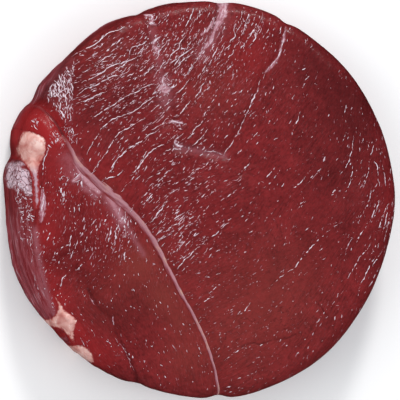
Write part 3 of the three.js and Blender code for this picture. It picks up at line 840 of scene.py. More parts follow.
# The silverskin with the values for its material
def makeSilverskin():
    own = sheetSizes
    piece, points = throughPiece("silverskin_sheet", silverskinSide, silverskinHeight, own["spacing"],
                                 own["rows"], own["low"], own["high"])
    x, y, z = points.T
    side, along, half = seamAt(x, y)
    keepAtPoints(piece, "sheet", np.stack([along, side, half], axis=1))
    keepAtPoints(piece, "cover", ease(x, own["clearFrom"] - 1, own["clearTo"]) * ease(z, 12, 22))
    return piece


fatSizes = {"spacing": 0.26, "rows": 40, "crown": (0.7, 2.2), "lumps": (0.3, 1.7), "grains": (0.08, 0.7)}


# Fat: a crowned, lumpy cushion inside its outline
def makeFat(name):
    ring = fatRings[name]
    crown, reach = fatSizes["crown"]

    def height(x, y):
        depth = -ringSide(ring, x, y)
        uneven = 0
        for seed, part in ((71, "lumps"), (72, "grains")):
            rise, width = fatSizes[part]
            uneven = uneven + rise * noise(x / width, y / width, seed)
        return faceHeight(x, y) + crown * ease(depth, 0, reach) + uneven * ease(depth, 0, 1)

    def side(x, y):
        return ringSide(ring, x, y)

    piece, points = throughPiece(name + "_pad", side, height, fatSizes["spacing"], fatSizes["rows"],
                                 ring.min(axis=0) - 1, ring.max(axis=0) + 1)
    x, y, z = points.T
    keepAtPoints(piece, "depth", -ringSide(ring, x, y))
    keepAtPoints(piece, "tail", ease(y, 13, 8) * ease(y, -30, -20))
    keepAtPoints(piece, "whiteness", amountAt(0, whitePlaces, x, y))
    keepAtPoints(piece, "shadow", amountAt(0, darkAndShadedPlaces, x, y))
    return piece


# Threads on the cut face. Lines are listed: how unbroken and how bright they are. Short ones are
# scattered: lattice spacing, chance everywhere, places where more of them are (x, y, spread, chance),
# lengths, half widths, how far they turn from the grain or from a way of their own, how bright
# The threads' white is partly tissue and partly painted glints on the wet fibres
threadGroups = {
    "topside": {
        "lines": [(longLines, 0.9, 0.95), (dottedLines, 0.4, 0.9), (rimLines, 0.6, 0.85),
                  (whiteSeams, 0.8, 0.75)],
        "fields": [
            {"spacing": 0.9, "chance": 0.08, "length": (0.3, 1.2), "half": (0.06, 0.12), "turn": 14,
             "shine": (0.1, 0.7), "places": [(10, -48, 20, 0.14), (6, -14, 16, 0.12), (4, -28, 14, 0.12)]},
            {"spacing": 0.75, "chance": 0.03, "length": (0.5, 1.9), "half": (0.11, 0.22), "turn": 11,
             "places": [(-30, 42, 17, 0.28), (0, 54, 16, 0.24), (-12, 50, 12, 0.16), (22, 64, 7, 0.18),
                        (-8, 6, 13, 0.2), (-9, -14, 9, 0.3), (68, -6, 7, 0.08), (60, 20, 9, 0.06),
                        (12, 24, 12, 0.1)]},
            {"spacing": 1.25, "chance": 0.004, "length": (2.5, 8), "half": (0.12, 0.23), "turn": 4,
             "solid": 0.4, "shine": (0.3, 1),
             "places": [(-30, 42, 16, 0.16), (-2, 54, 14, 0.3), (22, 62, 8, 0.25), (64, -4, 9, 0.06),
                        (-6, 4, 12, 0.15), (-11, -13, 8, 0.22), (-22, 14, 12, 0.14)]},
            # Partly painted sheen: bright strokes over the wrinkled membrane at the upper left
            {"spacing": 0.72, "chance": 0, "length": (1, 3.6), "half": (0.11, 0.27), "turn": 13, "way": 98,
             "solid": 0.65, "shine": (0.25, 1), "ring": sheenRing,
             "places": [(-49, 42, 10, 0.8), (-55, 42, 12, 0.4)]},
            {"spacing": 0.6, "chance": 0, "length": (0.6, 2), "half": (0.1, 0.22), "turn": 30, "way": 60,
             "places": [(-45.8, 21.8, 2.4, 0.9), (-47.6, 24.4, 1.6, 0.7)]},
            {"spacing": 0.55, "chance": 0, "length": (0.4, 1.4), "half": (0.1, 0.24), "turn": 50, "way": 50,
             "shine": (0.1, 0.8),
             "places": [(-17.5, 63.5, 1.8, 0.6), (-16.4, 53, 1.8, 0.6), (-15.4, 46, 1.6, 0.5),
                        (-13, 39.5, 2.6, 0.5), (-9.5, 27, 2.2, 0.55), (-8.2, 19, 2.2, 0.6)]},
        ],
    },
    "inner": {
        "lines": [(innerSeams, 0.85, 0.9), (faintSeams, 1.1, 0.25)],
        "fields": [
            {"spacing": 0.85, "chance": 0.11, "length": (0.3, 1.3), "half": (0.09, 0.22), "turn": 20,
             "places": [(-49, 3, 5, 0.3), (-41, 4, 6, 0.35), (-31, -13, 7, 0.35), (-28, -9, 4, 0.4),
                        (-56, -18, 6, 0.35), (-42, -20, 14, 0.16), (-54, -46, 7, 0.4)]},
            {"spacing": 1.9, "chance": 0.02, "length": (1.8, 4), "half": (0.16, 0.34), "turn": 12,
             "places": [(-31, -12, 6, 0.7), (-27.5, -9, 3, 0.8), (-41, -12, 8, 0.35), (-55, -22, 6, 0.35),
                        (-43, 2, 5, 0.5)]},
            {"spacing": 0.6, "chance": 0, "length": (0.8, 2.4), "half": (0.11, 0.25), "turn": 14, "way": 122,
             "places": [(-58.2, 26.4, 1.3, 0.9), (-59.6, 28.6, 1.3, 0.9), (-61, 30.6, 1.3, 0.8),
                        (-65.5, 29.5, 2, 0.8)]},
            {"spacing": 0.6, "chance": 0, "length": (0.6, 2), "half": (0.11, 0.25), "turn": 22, "way": 122,
             "places": [(-50.5, 22.5, 2.8, 0.85), (-54.5, 18.5, 1.2, 0.6)]},
        ],
    },
    "outer": {
        "lines": [],
        "fields": [
            {"spacing": 0.72, "chance": 0, "length": (0.5, 1.7), "half": (0.12, 0.26), "turn": 45, "way": 90,
             "shine": (0.2, 1), "places": [(-64, 1, 4, 0.85), (-67, 14, 2, 0.5), (-66, 5, 4, 0.6),
                                           (-61, -5, 4, 0.7), (-59, -12, 4, 0.35)]},
            {"spacing": 0.55, "chance": 0, "length": (0.7, 1.3), "half": (0.12, 0.2), "turn": 12, "way": 20,
             "places": [(-64.3, 17, 1, 0.9), (-63.4, 14.4, 1, 0.9)]},
            {"spacing": 1.6, "chance": 0, "length": (3, 8), "half": (0.08, 0.16), "turn": 8, "way": 96,
             "shine": (0, 0.4), "places": [(-60, -14, 7, 0.5), (-57, -30, 5, 0.5)]},
        ],
    },
}
threadSizes = {
    "ringStep": 0.3, "lift": 0.09, "sink": 0.08, "longHalf": 0.2, "solid": 0.55,
    "waver": (0.22, 1.1), "sway": (0.3, 3.6), "bead": (1.0, 0.8),  # height and length
    # width of the lattices and where they start, and what stays clear beside seam, rim and ring
    "latticeWidth": 150, "latticeStart": -74, "besideSeam": 0.5, "besideRim": 0.8, "endsRim": 1,
    "besideRing": 0.2, "pathStep": 0.9,
}


# Paths that follow a way through the given middles: steps go out both ways, each along the way there
def tracePaths(x, y, wayAt, length, ringCount):
    halves = []
    for sign in (1, -1):
        px, py = x.copy(), y.copy()
        angle = np.radians(wayAt(px, py))
        dx, dy = sign * np.cos(angle), sign * np.sin(angle)
        steps = []
        for _ in range(ringCount // 2):
            angle = np.radians(wayAt(px, py))
            nx, ny = np.cos(angle), np.sin(angle)
            same = np.where(nx * dx + ny * dy < 0, -1, 1)
            dx, dy = nx * same, ny * same
            px, py = px + dx * length / ringCount, py + dy * length / ringCount
            steps.append(np.stack([px, py], axis=1))
        halves.append(steps)
    rings = halves[1][::-1] + [np.stack([x, y], axis=1)] + halves[0]
    return np.stack(rings, axis=1)


# Points and faces of threads along paths: each ring has a left, a ridge and a right point, and the
# strip of rings is closed below and at both ends
def threadStrips(paths, half, height):
    step = np.gradient(paths, axis=1)
    step = step / np.maximum(np.linalg.norm(step, axis=2, keepdims=True), 1e-6)
    side = np.stack([-step[..., 1], step[..., 0]], axis=2) * half[..., None]
    count, rings = half.shape
    x, y = paths[..., 0].ravel(), paths[..., 1].ravel()
    z = height(x, y).reshape(count, rings)
    low = z - threadSizes["sink"]
    thin = ease(half, 0.06, 0)
    high = z + threadSizes["lift"] * ease(half, 0, 0.12) + 0.3 * half - threadSizes["sink"] * thin
    corners = [np.dstack([paths + side, low]), np.dstack([paths, high]), np.dstack([paths - side, low])]
    points = np.stack(corners, axis=2)
    index = np.arange(count * rings * 3).reshape(count, rings, 3)
    left, ridge, right = (index[..., k] for k in range(3))
    faces = [np.stack([a[:, :-1], a[:, 1:], b[:, 1:], b[:, :-1]], axis=-1).reshape(-1, 4)
             for a, b in ((ridge, left), (right, ridge), (left, right))]
    ends = np.vstack([np.stack([right[:, 0], ridge[:, 0], left[:, 0]], axis=1),
                      np.stack([left[:, -1], ridge[:, -1], right[:, -1]], axis=1)])
    return points.reshape(-1, 3), np.vstack(faces), ends


# Sideways wavering of paths and beading of their half widths, by noise along them. The beads run
# together where the thread is more solid.
def roughened(paths, half, solid, draw):
    count, rings = half.shape
    steps = np.hypot(*np.diff(paths, axis=1).T).T
    along = np.concatenate([np.zeros((count, 1)), np.cumsum(steps, axis=1)], axis=1)
    row = draw.uniform(0, 200, (count, 1)) + 0 * along
    step = np.gradient(paths, axis=1)
    step = step / np.maximum(np.linalg.norm(step, axis=2, keepdims=True), 1e-6)
    waver, waverLength = threadSizes["waver"]
    sway, swayLength = threadSizes["sway"]
    bead, beadLength = threadSizes["bead"]
    shift = waver * roughNoise(along / waverLength, row, 81, 2) + sway * noise(along / swayLength, row, 85)
    beads = np.clip(solid + bead * roughNoise(along / beadLength + 50, row, 91, 2), 0.03, 1.3)
    share = np.linspace(0, 1, rings)
    taper = np.sin(np.pi * np.clip(share, 0.03, 0.97)) ** 0.5
    paths = paths + np.stack([-step[..., 1], step[..., 0]], axis=2) * shift[..., None]
    return paths, half * beads * taper


# Paths of a scattered field: middles kept by chance on a jittered lattice, then traced both ways
def scatteredPaths(field, grain, side, draw):
    count = int(threadSizes["latticeWidth"] / field["spacing"])
    gx, gy = (draw.uniform(-0.5, 0.5, (count, count)) + k for k in np.mgrid[0:count, 0:count][::-1])
    gx, gy = (k.ravel() * field["spacing"] + threadSizes["latticeStart"] for k in (gx, gy))
    kept = draw.random(gx.size) < amountAt(field["chance"], field["places"], gx, gy)
    gx, gy = gx[kept], gy[kept]
    toRim = rimRadius(np.arctan2(gy, gx)) - np.hypot(gx, gy)
    kept = (side(gx, gy) < -threadSizes["besideSeam"]) & (toRim > threadSizes["besideRim"])
    if "ring" in field:
        kept &= ringSide(field["ring"], gx, gy) < -threadSizes["besideRing"]
    gx, gy = gx[kept], gy[kept]
    turn = draw.normal(0, field["turn"], gx.size)
    length = draw.uniform(*field["length"], gx.size)

    def wayAt(px, py):
        return (field["way"] if "way" in field else grainAngle(grain, px, py)) + turn

    ringCount = 2 * int(field["length"][1] / threadSizes["pathStep"] + 1)
    paths = tracePaths(gx, gy, wayAt, length, ringCount)
    px, py = paths[..., 0], paths[..., 1]
    toRim = (rimRadius(np.arctan2(py, px)) - np.hypot(px, py)).min(axis=1)
    return paths[toRim > threadSizes["endsRim"]]


# A piece of threads: the listed lines with their half widths, then the scattered fields
def makeThreads(name, group, grain, side, height, seed):
    draw = np.random.default_rng(seed)
    points, quads, ends, bright = [], [], [], []

    def add(paths, half, solid, shine):
        paths, half = roughened(paths, half, solid, draw)
        start = sum(len(p) for p in points)
        newPoints, newQuads, newEnds = threadStrips(paths, half, height)
        points.append(newPoints)
        quads.append(newQuads + start)
        ends.append(newEnds + start)
        bright.append(np.repeat(shine, half.shape[1] * 3))

    for lines, solid, shine in group["lines"]:
        for line in lines:
            line = [(*point, threadSizes["longHalf"]) if len(point) == 2 else point for point in line]
            length = np.hypot(*np.diff(np.array(line)[:, :2], axis=0).T).sum()
            curve = smoothLine(line, int(length / threadSizes["ringStep"]) + 3)
            add(curve[None, :, :2], curve[None, :, 2], solid, np.array([shine]))
    for field in group["fields"]:
        paths = scatteredPaths(field, grain, side, draw)
        half = draw.uniform(*field["half"], (len(paths), 1)) + np.zeros(paths.shape[:2])
        low, high = field.get("shine", (0, 1))
        shine = low + (high - low) * draw.uniform(0, 1, len(paths))
        add(paths, half, field.get("solid", threadSizes["solid"]), shine)
        print(name, "field of", len(paths))
    mesh = bpy.data.meshes.new(name)
    placed = (np.vstack(points) - [middle[0], middle[1], 0]) * mm
    mesh.from_pydata(placed.tolist(), [], np.vstack(quads).tolist() + np.vstack(ends).tolist())
    mesh.shade_smooth()
    piece = bpy.data.objects.new(name, mesh)
    bpy.context.scene.collection.objects.link(piece)
    keepAtPoints(piece, "bright", np.concatenate(bright))
    triangles = 2 * sum(len(q) for q in quads) + sum(len(e) for e in ends)
    print(name, len(placed), "points,", triangles, "triangles")
    return piece


# sRGB hex to linear red, green, blue and alpha
def linear(hexColour):
    srgb = np.array([hexColour >> 16 & 255, hexColour >> 8 & 255, hexColour & 255]) / 255
    return (*np.where(srgb <= 0.04045, srgb / 12.92, ((srgb + 0.055) / 1.055) ** 2.4).tolist(), 1)


# A new material and the function that adds a node to it: inputs are values or sockets, in order or by
# name in a dictionary, and what comes back is the node's output of that number or name
def newMaterial(name):
    material = bpy.data.materials.new(name)
    material.use_nodes = True
    tree = material.node_tree
    tree.nodes.clear()

    def put(kind, *inputs, out=0, **settings):
        added = tree.nodes.new("ShaderNode" + kind)
        for key, value in settings.items():
            setattr(added, key, value)
        named = inputs[0] if inputs and isinstance(inputs[0], dict) else dict(enumerate(inputs))
        for key, value in named.items():
            if isinstance(value, bpy.types.NodeSocket):
                tree.links.new(value, added.inputs[key])
            else:
                added.inputs[key].default_value = value
        return added.outputs[out] if added.outputs else added

    return material, put


times = {"operation": "MULTIPLY"}
plus = {"operation": "ADD"}
timesPlus = {"operation": "MULTIPLY_ADD"}
minus = {"operation": "SUBTRACT"}
size = {"operation": "ABSOLUTE"}
eased = {"interpolation_type": "SMOOTHSTEP"}

lean = {
    "dark": 0x560f12, "bright": 0x822124, "red": 0x951a1d, "bloodAndShade": 0x3c090c, "warm": 0x7d332c,
    "wallDark": 0x7a2229, "membrane": 0x92474f, "silvery": 0xb6868e, "veil": 0x93565f, "sheet": 0xb07d86,
    "tissue": 0xb98f9a, "lobe": 0xd6bac4, "underLobe": 0x642531, "paleDim": 0x9a5c68, "pale": 0xc6a0aa,
    "roughness": 0.4, "coat": 0.12, "coatRoughness": 0.14,
    # sizes of the patterns, in mm
    "fibreLength": 3.2, "fibreWidth": 0.55, "fibreDepth": 3, "fleckLength": 1.5, "fleckWidth": 0.34,
    "blotch": 8,
    "vein": 4.8, "veinBreak": 6.7, "lobeWidth": 1.6, "lobeCurl": 3, "lobeShift": 3.4, "mottle": 1.1,
    "streakLength": 11, "streakWidth": 1.8, "pore": 1.4,
}


# Noise drawn out along the fibres: one for each of a few ways, mixed by how near each is to the
# fibres' own way. Sizes in mm.
def fibreNoise(put, place, degrees, length, width):
    ways = (30, 55, 80, 105, 130)
    total = 0.0
    for way in ways:
        grainSize = (length * mm, width * mm, lean["fibreDepth"] * mm)
        turn = {0: place, 2: (0, 0, np.radians(way)), 3: grainSize}
        turnedPlace = put("Mapping", turn, vector_type="TEXTURE")
        pattern = put("TexNoise", {"Vector": turnedPlace, "Scale": 1.0, "Detail": 2.0, "Roughness": 0.55})
        off = put("Math", put("Math", degrees, way, **minus), **size)
        near = put("MapRange", off, 0.0, 25.0, 1.0, 0.0)
        total = put("Math", pattern, near, total, **timesPlus)
    return total


# Raw lean venison, cut across: dark wet red with fine fibres, painted shade in the creases and beside the
# long lines, and a clear film that gives small, sharp glints
def leanMaterial():
    material, put = newMaterial("raw_lean_venison")
    place = put("TexCoord", out="Object")
    values = {}
    pale = put("Attribute", out="Fac", attribute_name="pale")
    for name, parts in (("grain", ("degrees", "beside", "away")), ("tone", ("red", "dark", "warm")),
                        ("film", ("veil", "lobes", "glint")), ("around", ("arc", "vein", "wall"))):
        attribute = put("Attribute", out="Vector", attribute_name=name)
        for k, part in enumerate(parts):
            values[part] = put("SeparateXYZ", attribute, out=k)
    fibres = fibreNoise(put, place, values["degrees"], lean["fibreLength"], lean["fibreWidth"])
    flecks = fibreNoise(put, place, values["degrees"], lean["fleckLength"], lean["fleckWidth"])

    # Flesh: blotches and streaks along the fibres, redder, warmer and darker in places
    blotches = {"Vector": place, "Scale": metre / lean["blotch"], "Detail": 5.0, "Roughness": 0.62}
    blotches = put("TexNoise", blotches)
    mottle = {"Vector": place, "Scale": metre / lean["mottle"], "Detail": 3.0, "Roughness": 0.6}
    mottle = put("TexNoise", mottle)
    shade = put("Math", put("Math", blotches, fibres, **plus), mottle, **plus)
    shade = put("MapRange", shade, 1.12, 1.88)
    colour = put("MixRGB", shade, linear(lean["dark"]), linear(lean["bright"]))
    colour = put("MixRGB", values["warm"], colour, linear(lean["warm"]))
    colour = put("MixRGB", values["red"], colour, linear(lean["red"]))
    # Painted shadow: a dark band on the right of each long line, where its furrow lies in shade
    furrow = put("Math", put("Math", values["beside"], 0.5, **plus), **size)
    furrow = put("MapRange", furrow, 0.05, 0.5, 0.25, 0.0)
    furrow = put("Math", furrow, put("MapRange", values["away"], 1.6, 1.2, **eased), **times)
    dark = put("Math", values["dark"], furrow, operation="MAXIMUM")
    colour = put("MixRGB", dark, colour, linear(lean["bloodAndShade"]))

    # Fine dark veins: contours of a noise, broken by another
    contour = {"Vector": place, "Scale": metre / lean["vein"], "Detail": 4.0, "Roughness": 0.6}
    contour = put("Math", put("Math", put("TexNoise", contour), 0.5, **minus), **size)
    broken = {"Vector": place, "Scale": metre / lean["veinBreak"], "Detail": 2.0, "Roughness": 0.5}
    broken = put("MapRange", put("TexNoise", broken), 0.44, 0.58, **eased)
    broken = put("Math", broken, values["vein"], **times)
    vein = put("Math", put("MapRange", contour, 0.026, 0.004, **eased), broken, **times)
    colour = put("MixRGB", put("Math", vein, 0.7, **times), colour, linear(lean["bloodAndShade"]))

    # Membrane: soft streaks round the wall, veils, pale patches, and white wrinkled lobes
    acrossArc = put("Math", values["arc"], 1 / lean["streakLength"], **times)
    acrossHeight = put("Math", put("SeparateXYZ", place, out=2), metre / lean["streakWidth"], **times)
    streakPlace = put("CombineXYZ", acrossArc, acrossHeight)
    streak = {"Vector": streakPlace, "Scale": 1.0, "Detail": 4.0, "Roughness": 0.6, "Distortion": 0.8}
    streak = put("TexNoise", streak)
    mostly = put("MapRange", streak, 0.38, 0.58, **eased)
    wallColour = put("MixRGB", mostly, linear(lean["wallDark"]), linear(lean["membrane"]))
    seldom = put("MapRange", streak, 0.56, 0.7, **eased)
    wallColour = put("MixRGB", seldom, wallColour, linear(lean["silvery"]))
    colour = put("MixRGB", put("Math", values["wall"], 0.85, **times), colour, wallColour)
    thin = put("Math", put("MapRange", mottle, 0.1, 0.5), values["veil"], **times)
    thick = put("MapRange", values["veil"], 0.75, 1.15)
    veilTone = put("MixRGB", thick, linear(lean["veil"]), linear(lean["sheet"]))
    colour = put("MixRGB", thin, colour, veilTone)
    paler = put("MapRange", fibres, 0.4, 0.58)
    paleTone = put("MixRGB", paler, linear(lean["paleDim"]), linear(lean["pale"]))
    paleShare = put("Math", put("MapRange", mottle, 0.3, 0.5, 0.45, 0.95), pale, **times)
    colour = put("MixRGB", paleShare, colour, paleTone)

    # The lobes are cells between dark creases, bent by a noise; their white is partly painted sheen on the
    # wet wrinkled membrane
    bend = put("TexNoise", {"Vector": place, "Scale": metre / lean["lobeCurl"], "Detail": 3.0}, out="Color")
    shift = (mm * lean["lobeShift"],) * 3
    bent = put("VectorMath", bend, shift, place, operation="MULTIPLY_ADD")
    cellSize = tuple(mm * lean["lobeWidth"] * share for share in (2.2, 1, 1.6))
    bent = put("Mapping", {0: bent, 2: (0, 0, np.radians(-35)), 3: cellSize}, vector_type="TEXTURE")
    cells = put("TexVoronoi", {"Vector": bent, "Scale": 1.0}, feature="DISTANCE_TO_EDGE", out="Distance")
    colour = put("MixRGB", put("Math", values["lobes"], 0.7, **times), colour, linear(lean["underLobe"]))
    patchy = put("Math", put("MapRange", blotches, 0.34, 0.5), values["lobes"], **times)
    lobe = put("Math", put("MapRange", cells, 0.015, 0.09, **eased), patchy, **times)
    colour = put("MixRGB", put("Math", lobe, 0.9, **times), colour, linear(lean["lobe"]))

    # Small pale flecks along the fibres, denser where the glint map is high: partly tissue, partly painted
    # glints
    fleck = put("Math", put("MapRange", flecks, 0.58, 0.7, **eased), values["glint"], **times)
    colour = put("MixRGB", put("Math", fleck, 0.35, **times), colour, linear(lean["tissue"]))

    height = put("Math", fibres, 0.8, **times)
    pores = {"Vector": place, "Scale": metre / lean["pore"], "Detail": 3.0, "Roughness": 0.55}
    height = put("Math", put("TexNoise", pores), 0.3, height, **timesPlus)
    height = put("Math", flecks, 0.5, height, **timesPlus)
    height = put("Math", lobe, 0.6, height, **timesPlus)
    bump = put("Bump", {"Height": height, "Strength": 0.65, "Distance": 0.4 * mm})
    shader = put("BsdfPrincipled", {
        "Base Color": colour, "Roughness": lean["roughness"], "Normal": bump, "Coat Normal": bump,
        "Specular IOR Level": 0.2, "Coat Weight": lean["coat"], "Coat Roughness": lean["coatRoughness"],
        "Subsurface Weight": 0.08, "Subsurface Radius": (1.0, 0.3, 0.25), "Subsurface Scale": mm,
    })
    put("OutputMaterial", shader)
    return material


silver = {
    "pink": 0xae7a82, "cream": 0xc08f84, "lilac": 0x8d535d, "flesh": 0x7c2023,
    "roughness": 0.36, "coat": 0.2, "coatRoughness": 0.15,
    "streakLength": 6, "streakWidth": 0.7, "patch": 4,  # mm
}


# Silverskin: a thin, satin sheet of connective tissue, pale pink on its crisp side and half clear,
# lilac, where it thins out on the other
def silverskinMaterial():
    material, put = newMaterial("silverskin_tissue")
    place = put("TexCoord", out="Object")
    sheet = put("Attribute", out="Vector", attribute_name="sheet")
    cover = put("Attribute", out="Fac", attribute_name="cover")
    along, side, half = (put("SeparateXYZ", sheet, out=k) for k in range(3))
    acrossLength = put("Math", along, 1 / silver["streakLength"], **times)
    acrossWidth = put("Math", side, 1 / silver["streakWidth"], **times)
    streakPlace = put("CombineXYZ", acrossLength, acrossWidth)
    streak = put("TexNoise", {"Vector": streakPlace, "Scale": 1.0, "Detail": 4.0, "Roughness": 0.6})
    patches = put("TexNoise", {"Vector": place, "Scale": metre / silver["patch"], "Detail": 3.0})
    across = put("Math", side, half, operation="DIVIDE")
    uneven = put("Math", put("Math", streak, 0.5, **minus), 2.8, across, **timesPlus)
    pale = put("MixRGB", put("MapRange", patches, 0.5, 0.68), linear(silver["pink"]), linear(silver["cream"]))
    colour = put("MixRGB", put("MapRange", uneven, -0.6, 0.35), linear(silver["lilac"]), pale)
    inEdge = put("MapRange", uneven, -1.1, -0.3, **eased)
    outEdge = put("MapRange", uneven, 1.2, 0.85, **eased)
    covered = put("MapRange", cover, 0.0, 1.0, 0.06, 0.92)
    shown = put("Math", put("Math", inEdge, outEdge, **times), covered, **times)
    colour = put("MixRGB", shown, linear(silver["flesh"]), colour)
    bump = put("Bump", {"Height": streak, "Strength": 0.5, "Distance": 0.4 * mm})
    shader = put("BsdfPrincipled", {
        "Base Color": colour, "Roughness": silver["roughness"], "Normal": bump, "Coat Normal": bump,
        "Coat Weight": silver["coat"], "Coat Roughness": silver["coatRoughness"],
        "Subsurface Weight": 0.12, "Subsurface Radius": (1.0, 0.5, 0.5), "Subsurface Scale": mm,
    })
    put("OutputMaterial", shader)
    return material


fat = {
    "cream": 0xdaa49a, "pink": 0xb8685f, "white": 0xecd2ca, "lilac": 0xb2909b, "flesh": 0x921b1e,
    "roughness": 0.42, "coat": 0.12, "coatRoughness": 0.2,
    "lump": 3.4, "grain": 1.2,  # mm
}


# Raw deer fat: firm and waxy, cream lobes with pink between them, frayed at its edge
def fatMaterial():
    material, put = newMaterial("raw_fat")
    place = put("TexCoord", out="Object")
    depth = put("Attribute", out="Fac", attribute_name="depth")
    tail = put("Attribute", out="Fac", attribute_name="tail")
    lumps = put("TexNoise", {"Vector": place, "Scale": metre / fat["lump"], "Detail": 3.0, "Distortion": 0.6})
    grains = {"Vector": place, "Scale": metre / fat["grain"], "Detail": 3.0, "Roughness": 0.6}
    grains = put("TexNoise", grains)
    colour = put("MixRGB", put("MapRange", lumps, 0.3, 0.6), linear(fat["pink"]), linear(fat["cream"]))
    whiteness = put("Attribute", out="Fac", attribute_name="whiteness")
    specks = put("MapRange", grains, 0.58, 0.72, **eased)
    white = put("Math", specks, put("MapRange", lumps, 0.48, 0.58), **times)
    spread = put("Math", put("MapRange", grains, 0.36, 0.5), whiteness, **times)
    white = put("Math", white, spread, operation="MAXIMUM")
    colour = put("MixRGB", white, colour, linear(fat["white"]))
    colour = put("MixRGB", tail, colour, linear(fat["lilac"]))
    frayed = put("Math", put("Math", grains, 0.5, **minus), 2.0, depth, **timesPlus)
    frayed = put("Math", tail, -0.35, frayed, **timesPlus)
    shadow = put("Attribute", out="Fac", attribute_name="shadow")
    flesh = put("MixRGB", shadow, linear(fat["flesh"]), linear(lean["bloodAndShade"]))
    colour = put("MixRGB", put("MapRange", frayed, 0.0, 0.8, **eased), flesh, colour)
    bump = put("Bump", {"Height": grains, "Strength": 0.35, "Distance": 0.4 * mm})
    shader = put("BsdfPrincipled", {
        "Base Color": colour, "Roughness": fat["roughness"], "Normal": bump, "Coat Normal": bump,
        "Coat Weight": fat["coat"], "Coat Roughness": fat["coatRoughness"],
        "Subsurface Weight": 0.15, "Subsurface Radius": (1.0, 0.6, 0.5), "Subsurface Scale": 1.2 * mm,
    })
    put("OutputMaterial", shader)
    return material


thread = {
    "dim": 0x9a5560, "bright": 0xe6d6df, "roughness": 0.25, "coat": 0.3, "coatRoughness": 0.1,
    "bead": 1.1,  # mm
}


# Wet threads of connective tissue: white and shining where they stand up, pink where they sink in.
# Their white is partly painted glint
def threadMaterial():
    material, put = newMaterial("connective_tissue_and_glints")
    bright = put("Attribute", out="Fac", attribute_name="bright")
    place = put("TexCoord", out="Object")
    beads = put("TexNoise", {"Vector": place, "Scale": metre / thread["bead"], "Detail": 2.0})
    share = put("Math", put("Math", beads, 0.5, **minus), 2.4, bright, **timesPlus)
    share = put("MapRange", share, 0.0, 0.95)
    colour = put("MixRGB", share, linear(thread["dim"]), linear(thread["bright"]))
    shader = put("BsdfPrincipled", {
        "Base Color": colour, "Roughness": thread["roughness"],
        "Coat Weight": thread["coat"], "Coat Roughness": thread["coatRoughness"],
    })
    put("OutputMaterial", shader)
    return material


leanFinish, silverFinish, fatFinish = leanMaterial(), silverskinMaterial(), fatMaterial()
pieces = [
    (makeMuscle("topside_lean", topsideSide, topsideHeight, topsideGrain, longLines + whiteSeams),
     "topside_muscle", leanFinish, "lean"),
    (makeMuscle("inner_lean", innerSide, innerHeight, innerGrain, innerSeams),
     "inner_muscle", leanFinish, "lean"),
    (makeMuscle("outer_lean", outerSide, outerHeight, outerGrain, []),
     "outer_muscle", leanFinish, "outer_lean"),
    (makeSilverskin(), "silverskin", silverFinish, "silverskin"),
] + [(makeFat(name), name, fatFinish, "fat") for name in fatOutlines]
for piece, node, finish, slot in pieces:
    piece.data.materials.append(finish)
    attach(piece, "root")
    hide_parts(node)
print("muscles, silverskin and fat made")

threadFinish = threadMaterial()
threads = [
    makeThreads("topside_threads", threadGroups["topside"], topsideGrain, topsideSide, topsideHeight, 1),
    makeThreads("inner_threads", threadGroups["inner"], innerGrain, innerSide, innerHeight, 2),
    makeThreads("outer_threads", threadGroups["outer"], outerGrain, outerSide, outerHeight, 3),
]
for piece in threads:
    piece.data.materials.append(threadFinish)
    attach(piece, "root")
print("threads made")


studio = {
    # tilt in degrees, the floor's reach in m, other lengths in mm
    "tilt": photo["tilt"], "distance": 600, "sensor": 36, "frameWidth": 140.4, "targetX": -0.7,
    "floor": 0xf2f0ef, "floorReach": 2,
    "sky": (0.9, 0.95, 1.0, 1), "skyStrength": 0.75,
    # direction each lamp shines from (azimuth from +X, height, in degrees), distance and size in m, watts
    "lamps": {
        "window": (85, 34, 1.0, 0.16, 5), "side": (340, 50, 1.1, 0.6, 2), "fill": (175, 45, 1.2, 0.8, 4.5),
    },
}


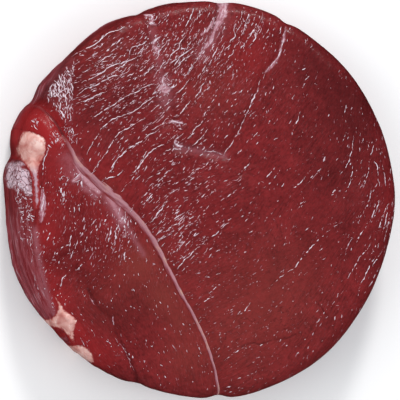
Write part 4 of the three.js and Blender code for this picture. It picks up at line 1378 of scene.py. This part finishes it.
# Floor, soft lights and the camera. The camera looks down and leans towards the left of the slice.
def makeStudio():
    mesh = bpy.data.meshes.new("floor")
    r = studio["floorReach"]
    mesh.from_pydata([(-r, -r, 0), (r, -r, 0), (r, r, 0), (-r, r, 0)], [], [(0, 1, 2, 3)])
    floor = bpy.data.objects.new("floor", mesh)
    material, put = newMaterial("pale_floor")
    put("OutputMaterial", put("BsdfPrincipled", {"Base Color": linear(studio["floor"]), "Roughness": 0.7}))
    mesh.materials.append(material)
    bpy.context.scene.collection.objects.link(floor)
    floor.visible_glossy = False
    floor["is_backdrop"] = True

    world = bpy.data.worlds.new("studio")
    world.use_nodes = True
    world.node_tree.nodes["Background"].inputs[0].default_value = studio["sky"]
    world.node_tree.nodes["Background"].inputs[1].default_value = studio["skyStrength"]
    bpy.context.scene.world = world
    world.cycles_visibility.glossy = False

    for name, (azimuth, rise, distance, width, watts) in studio["lamps"].items():
        lamp = bpy.data.lights.new(name, "AREA")
        lamp.shape, lamp.size, lamp.energy = "SQUARE", width, watts
        a, e = np.radians(azimuth), np.radians(rise)
        back = np.array([np.cos(a) * np.cos(e), np.sin(a) * np.cos(e), np.sin(e)])
        right = np.cross([0, 0, 1], back)
        right /= np.linalg.norm(right)
        stand = bpy.data.objects.new(name, lamp)
        stand.matrix_world = turned(right, back, back * distance)
        stand.visible_glossy = name == "window"
        bpy.context.scene.collection.objects.link(stand)

    tilt = np.radians(studio["tilt"])
    right = np.array([np.cos(tilt), 0, np.sin(tilt)])
    back = np.array([-np.sin(tilt), 0, np.cos(tilt)])
    target = np.array([studio["targetX"] - middle[0], -middle[1], steakSizes["thickness"]]) * mm
    lens = bpy.data.cameras.new("camera")
    lens.sensor_width = studio["sensor"]
    lens.lens = studio["sensor"] * studio["distance"] / studio["frameWidth"]
    camera = bpy.data.objects.new("camera", lens)
    camera.matrix_world = turned(right, back, target + back * studio["distance"] * mm)
    bpy.context.scene.collection.objects.link(camera)
    bpy.context.scene.camera = camera
    bpy.context.scene.view_settings.view_transform = "Standard"


# A placement whose X and Z axes point right and back
def turned(right, back, at):
    up = np.cross(back, right)
    return Matrix([[*row, place] for row, place in zip(np.stack([right, up, back], axis=1).tolist(), at)]
                  + [[0, 0, 0, 1]])


makeStudio()

boxes = {"cad": cadBox, "visual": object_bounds()}
{name: [list(corner) for corner in box] for name, box in boxes.items()}
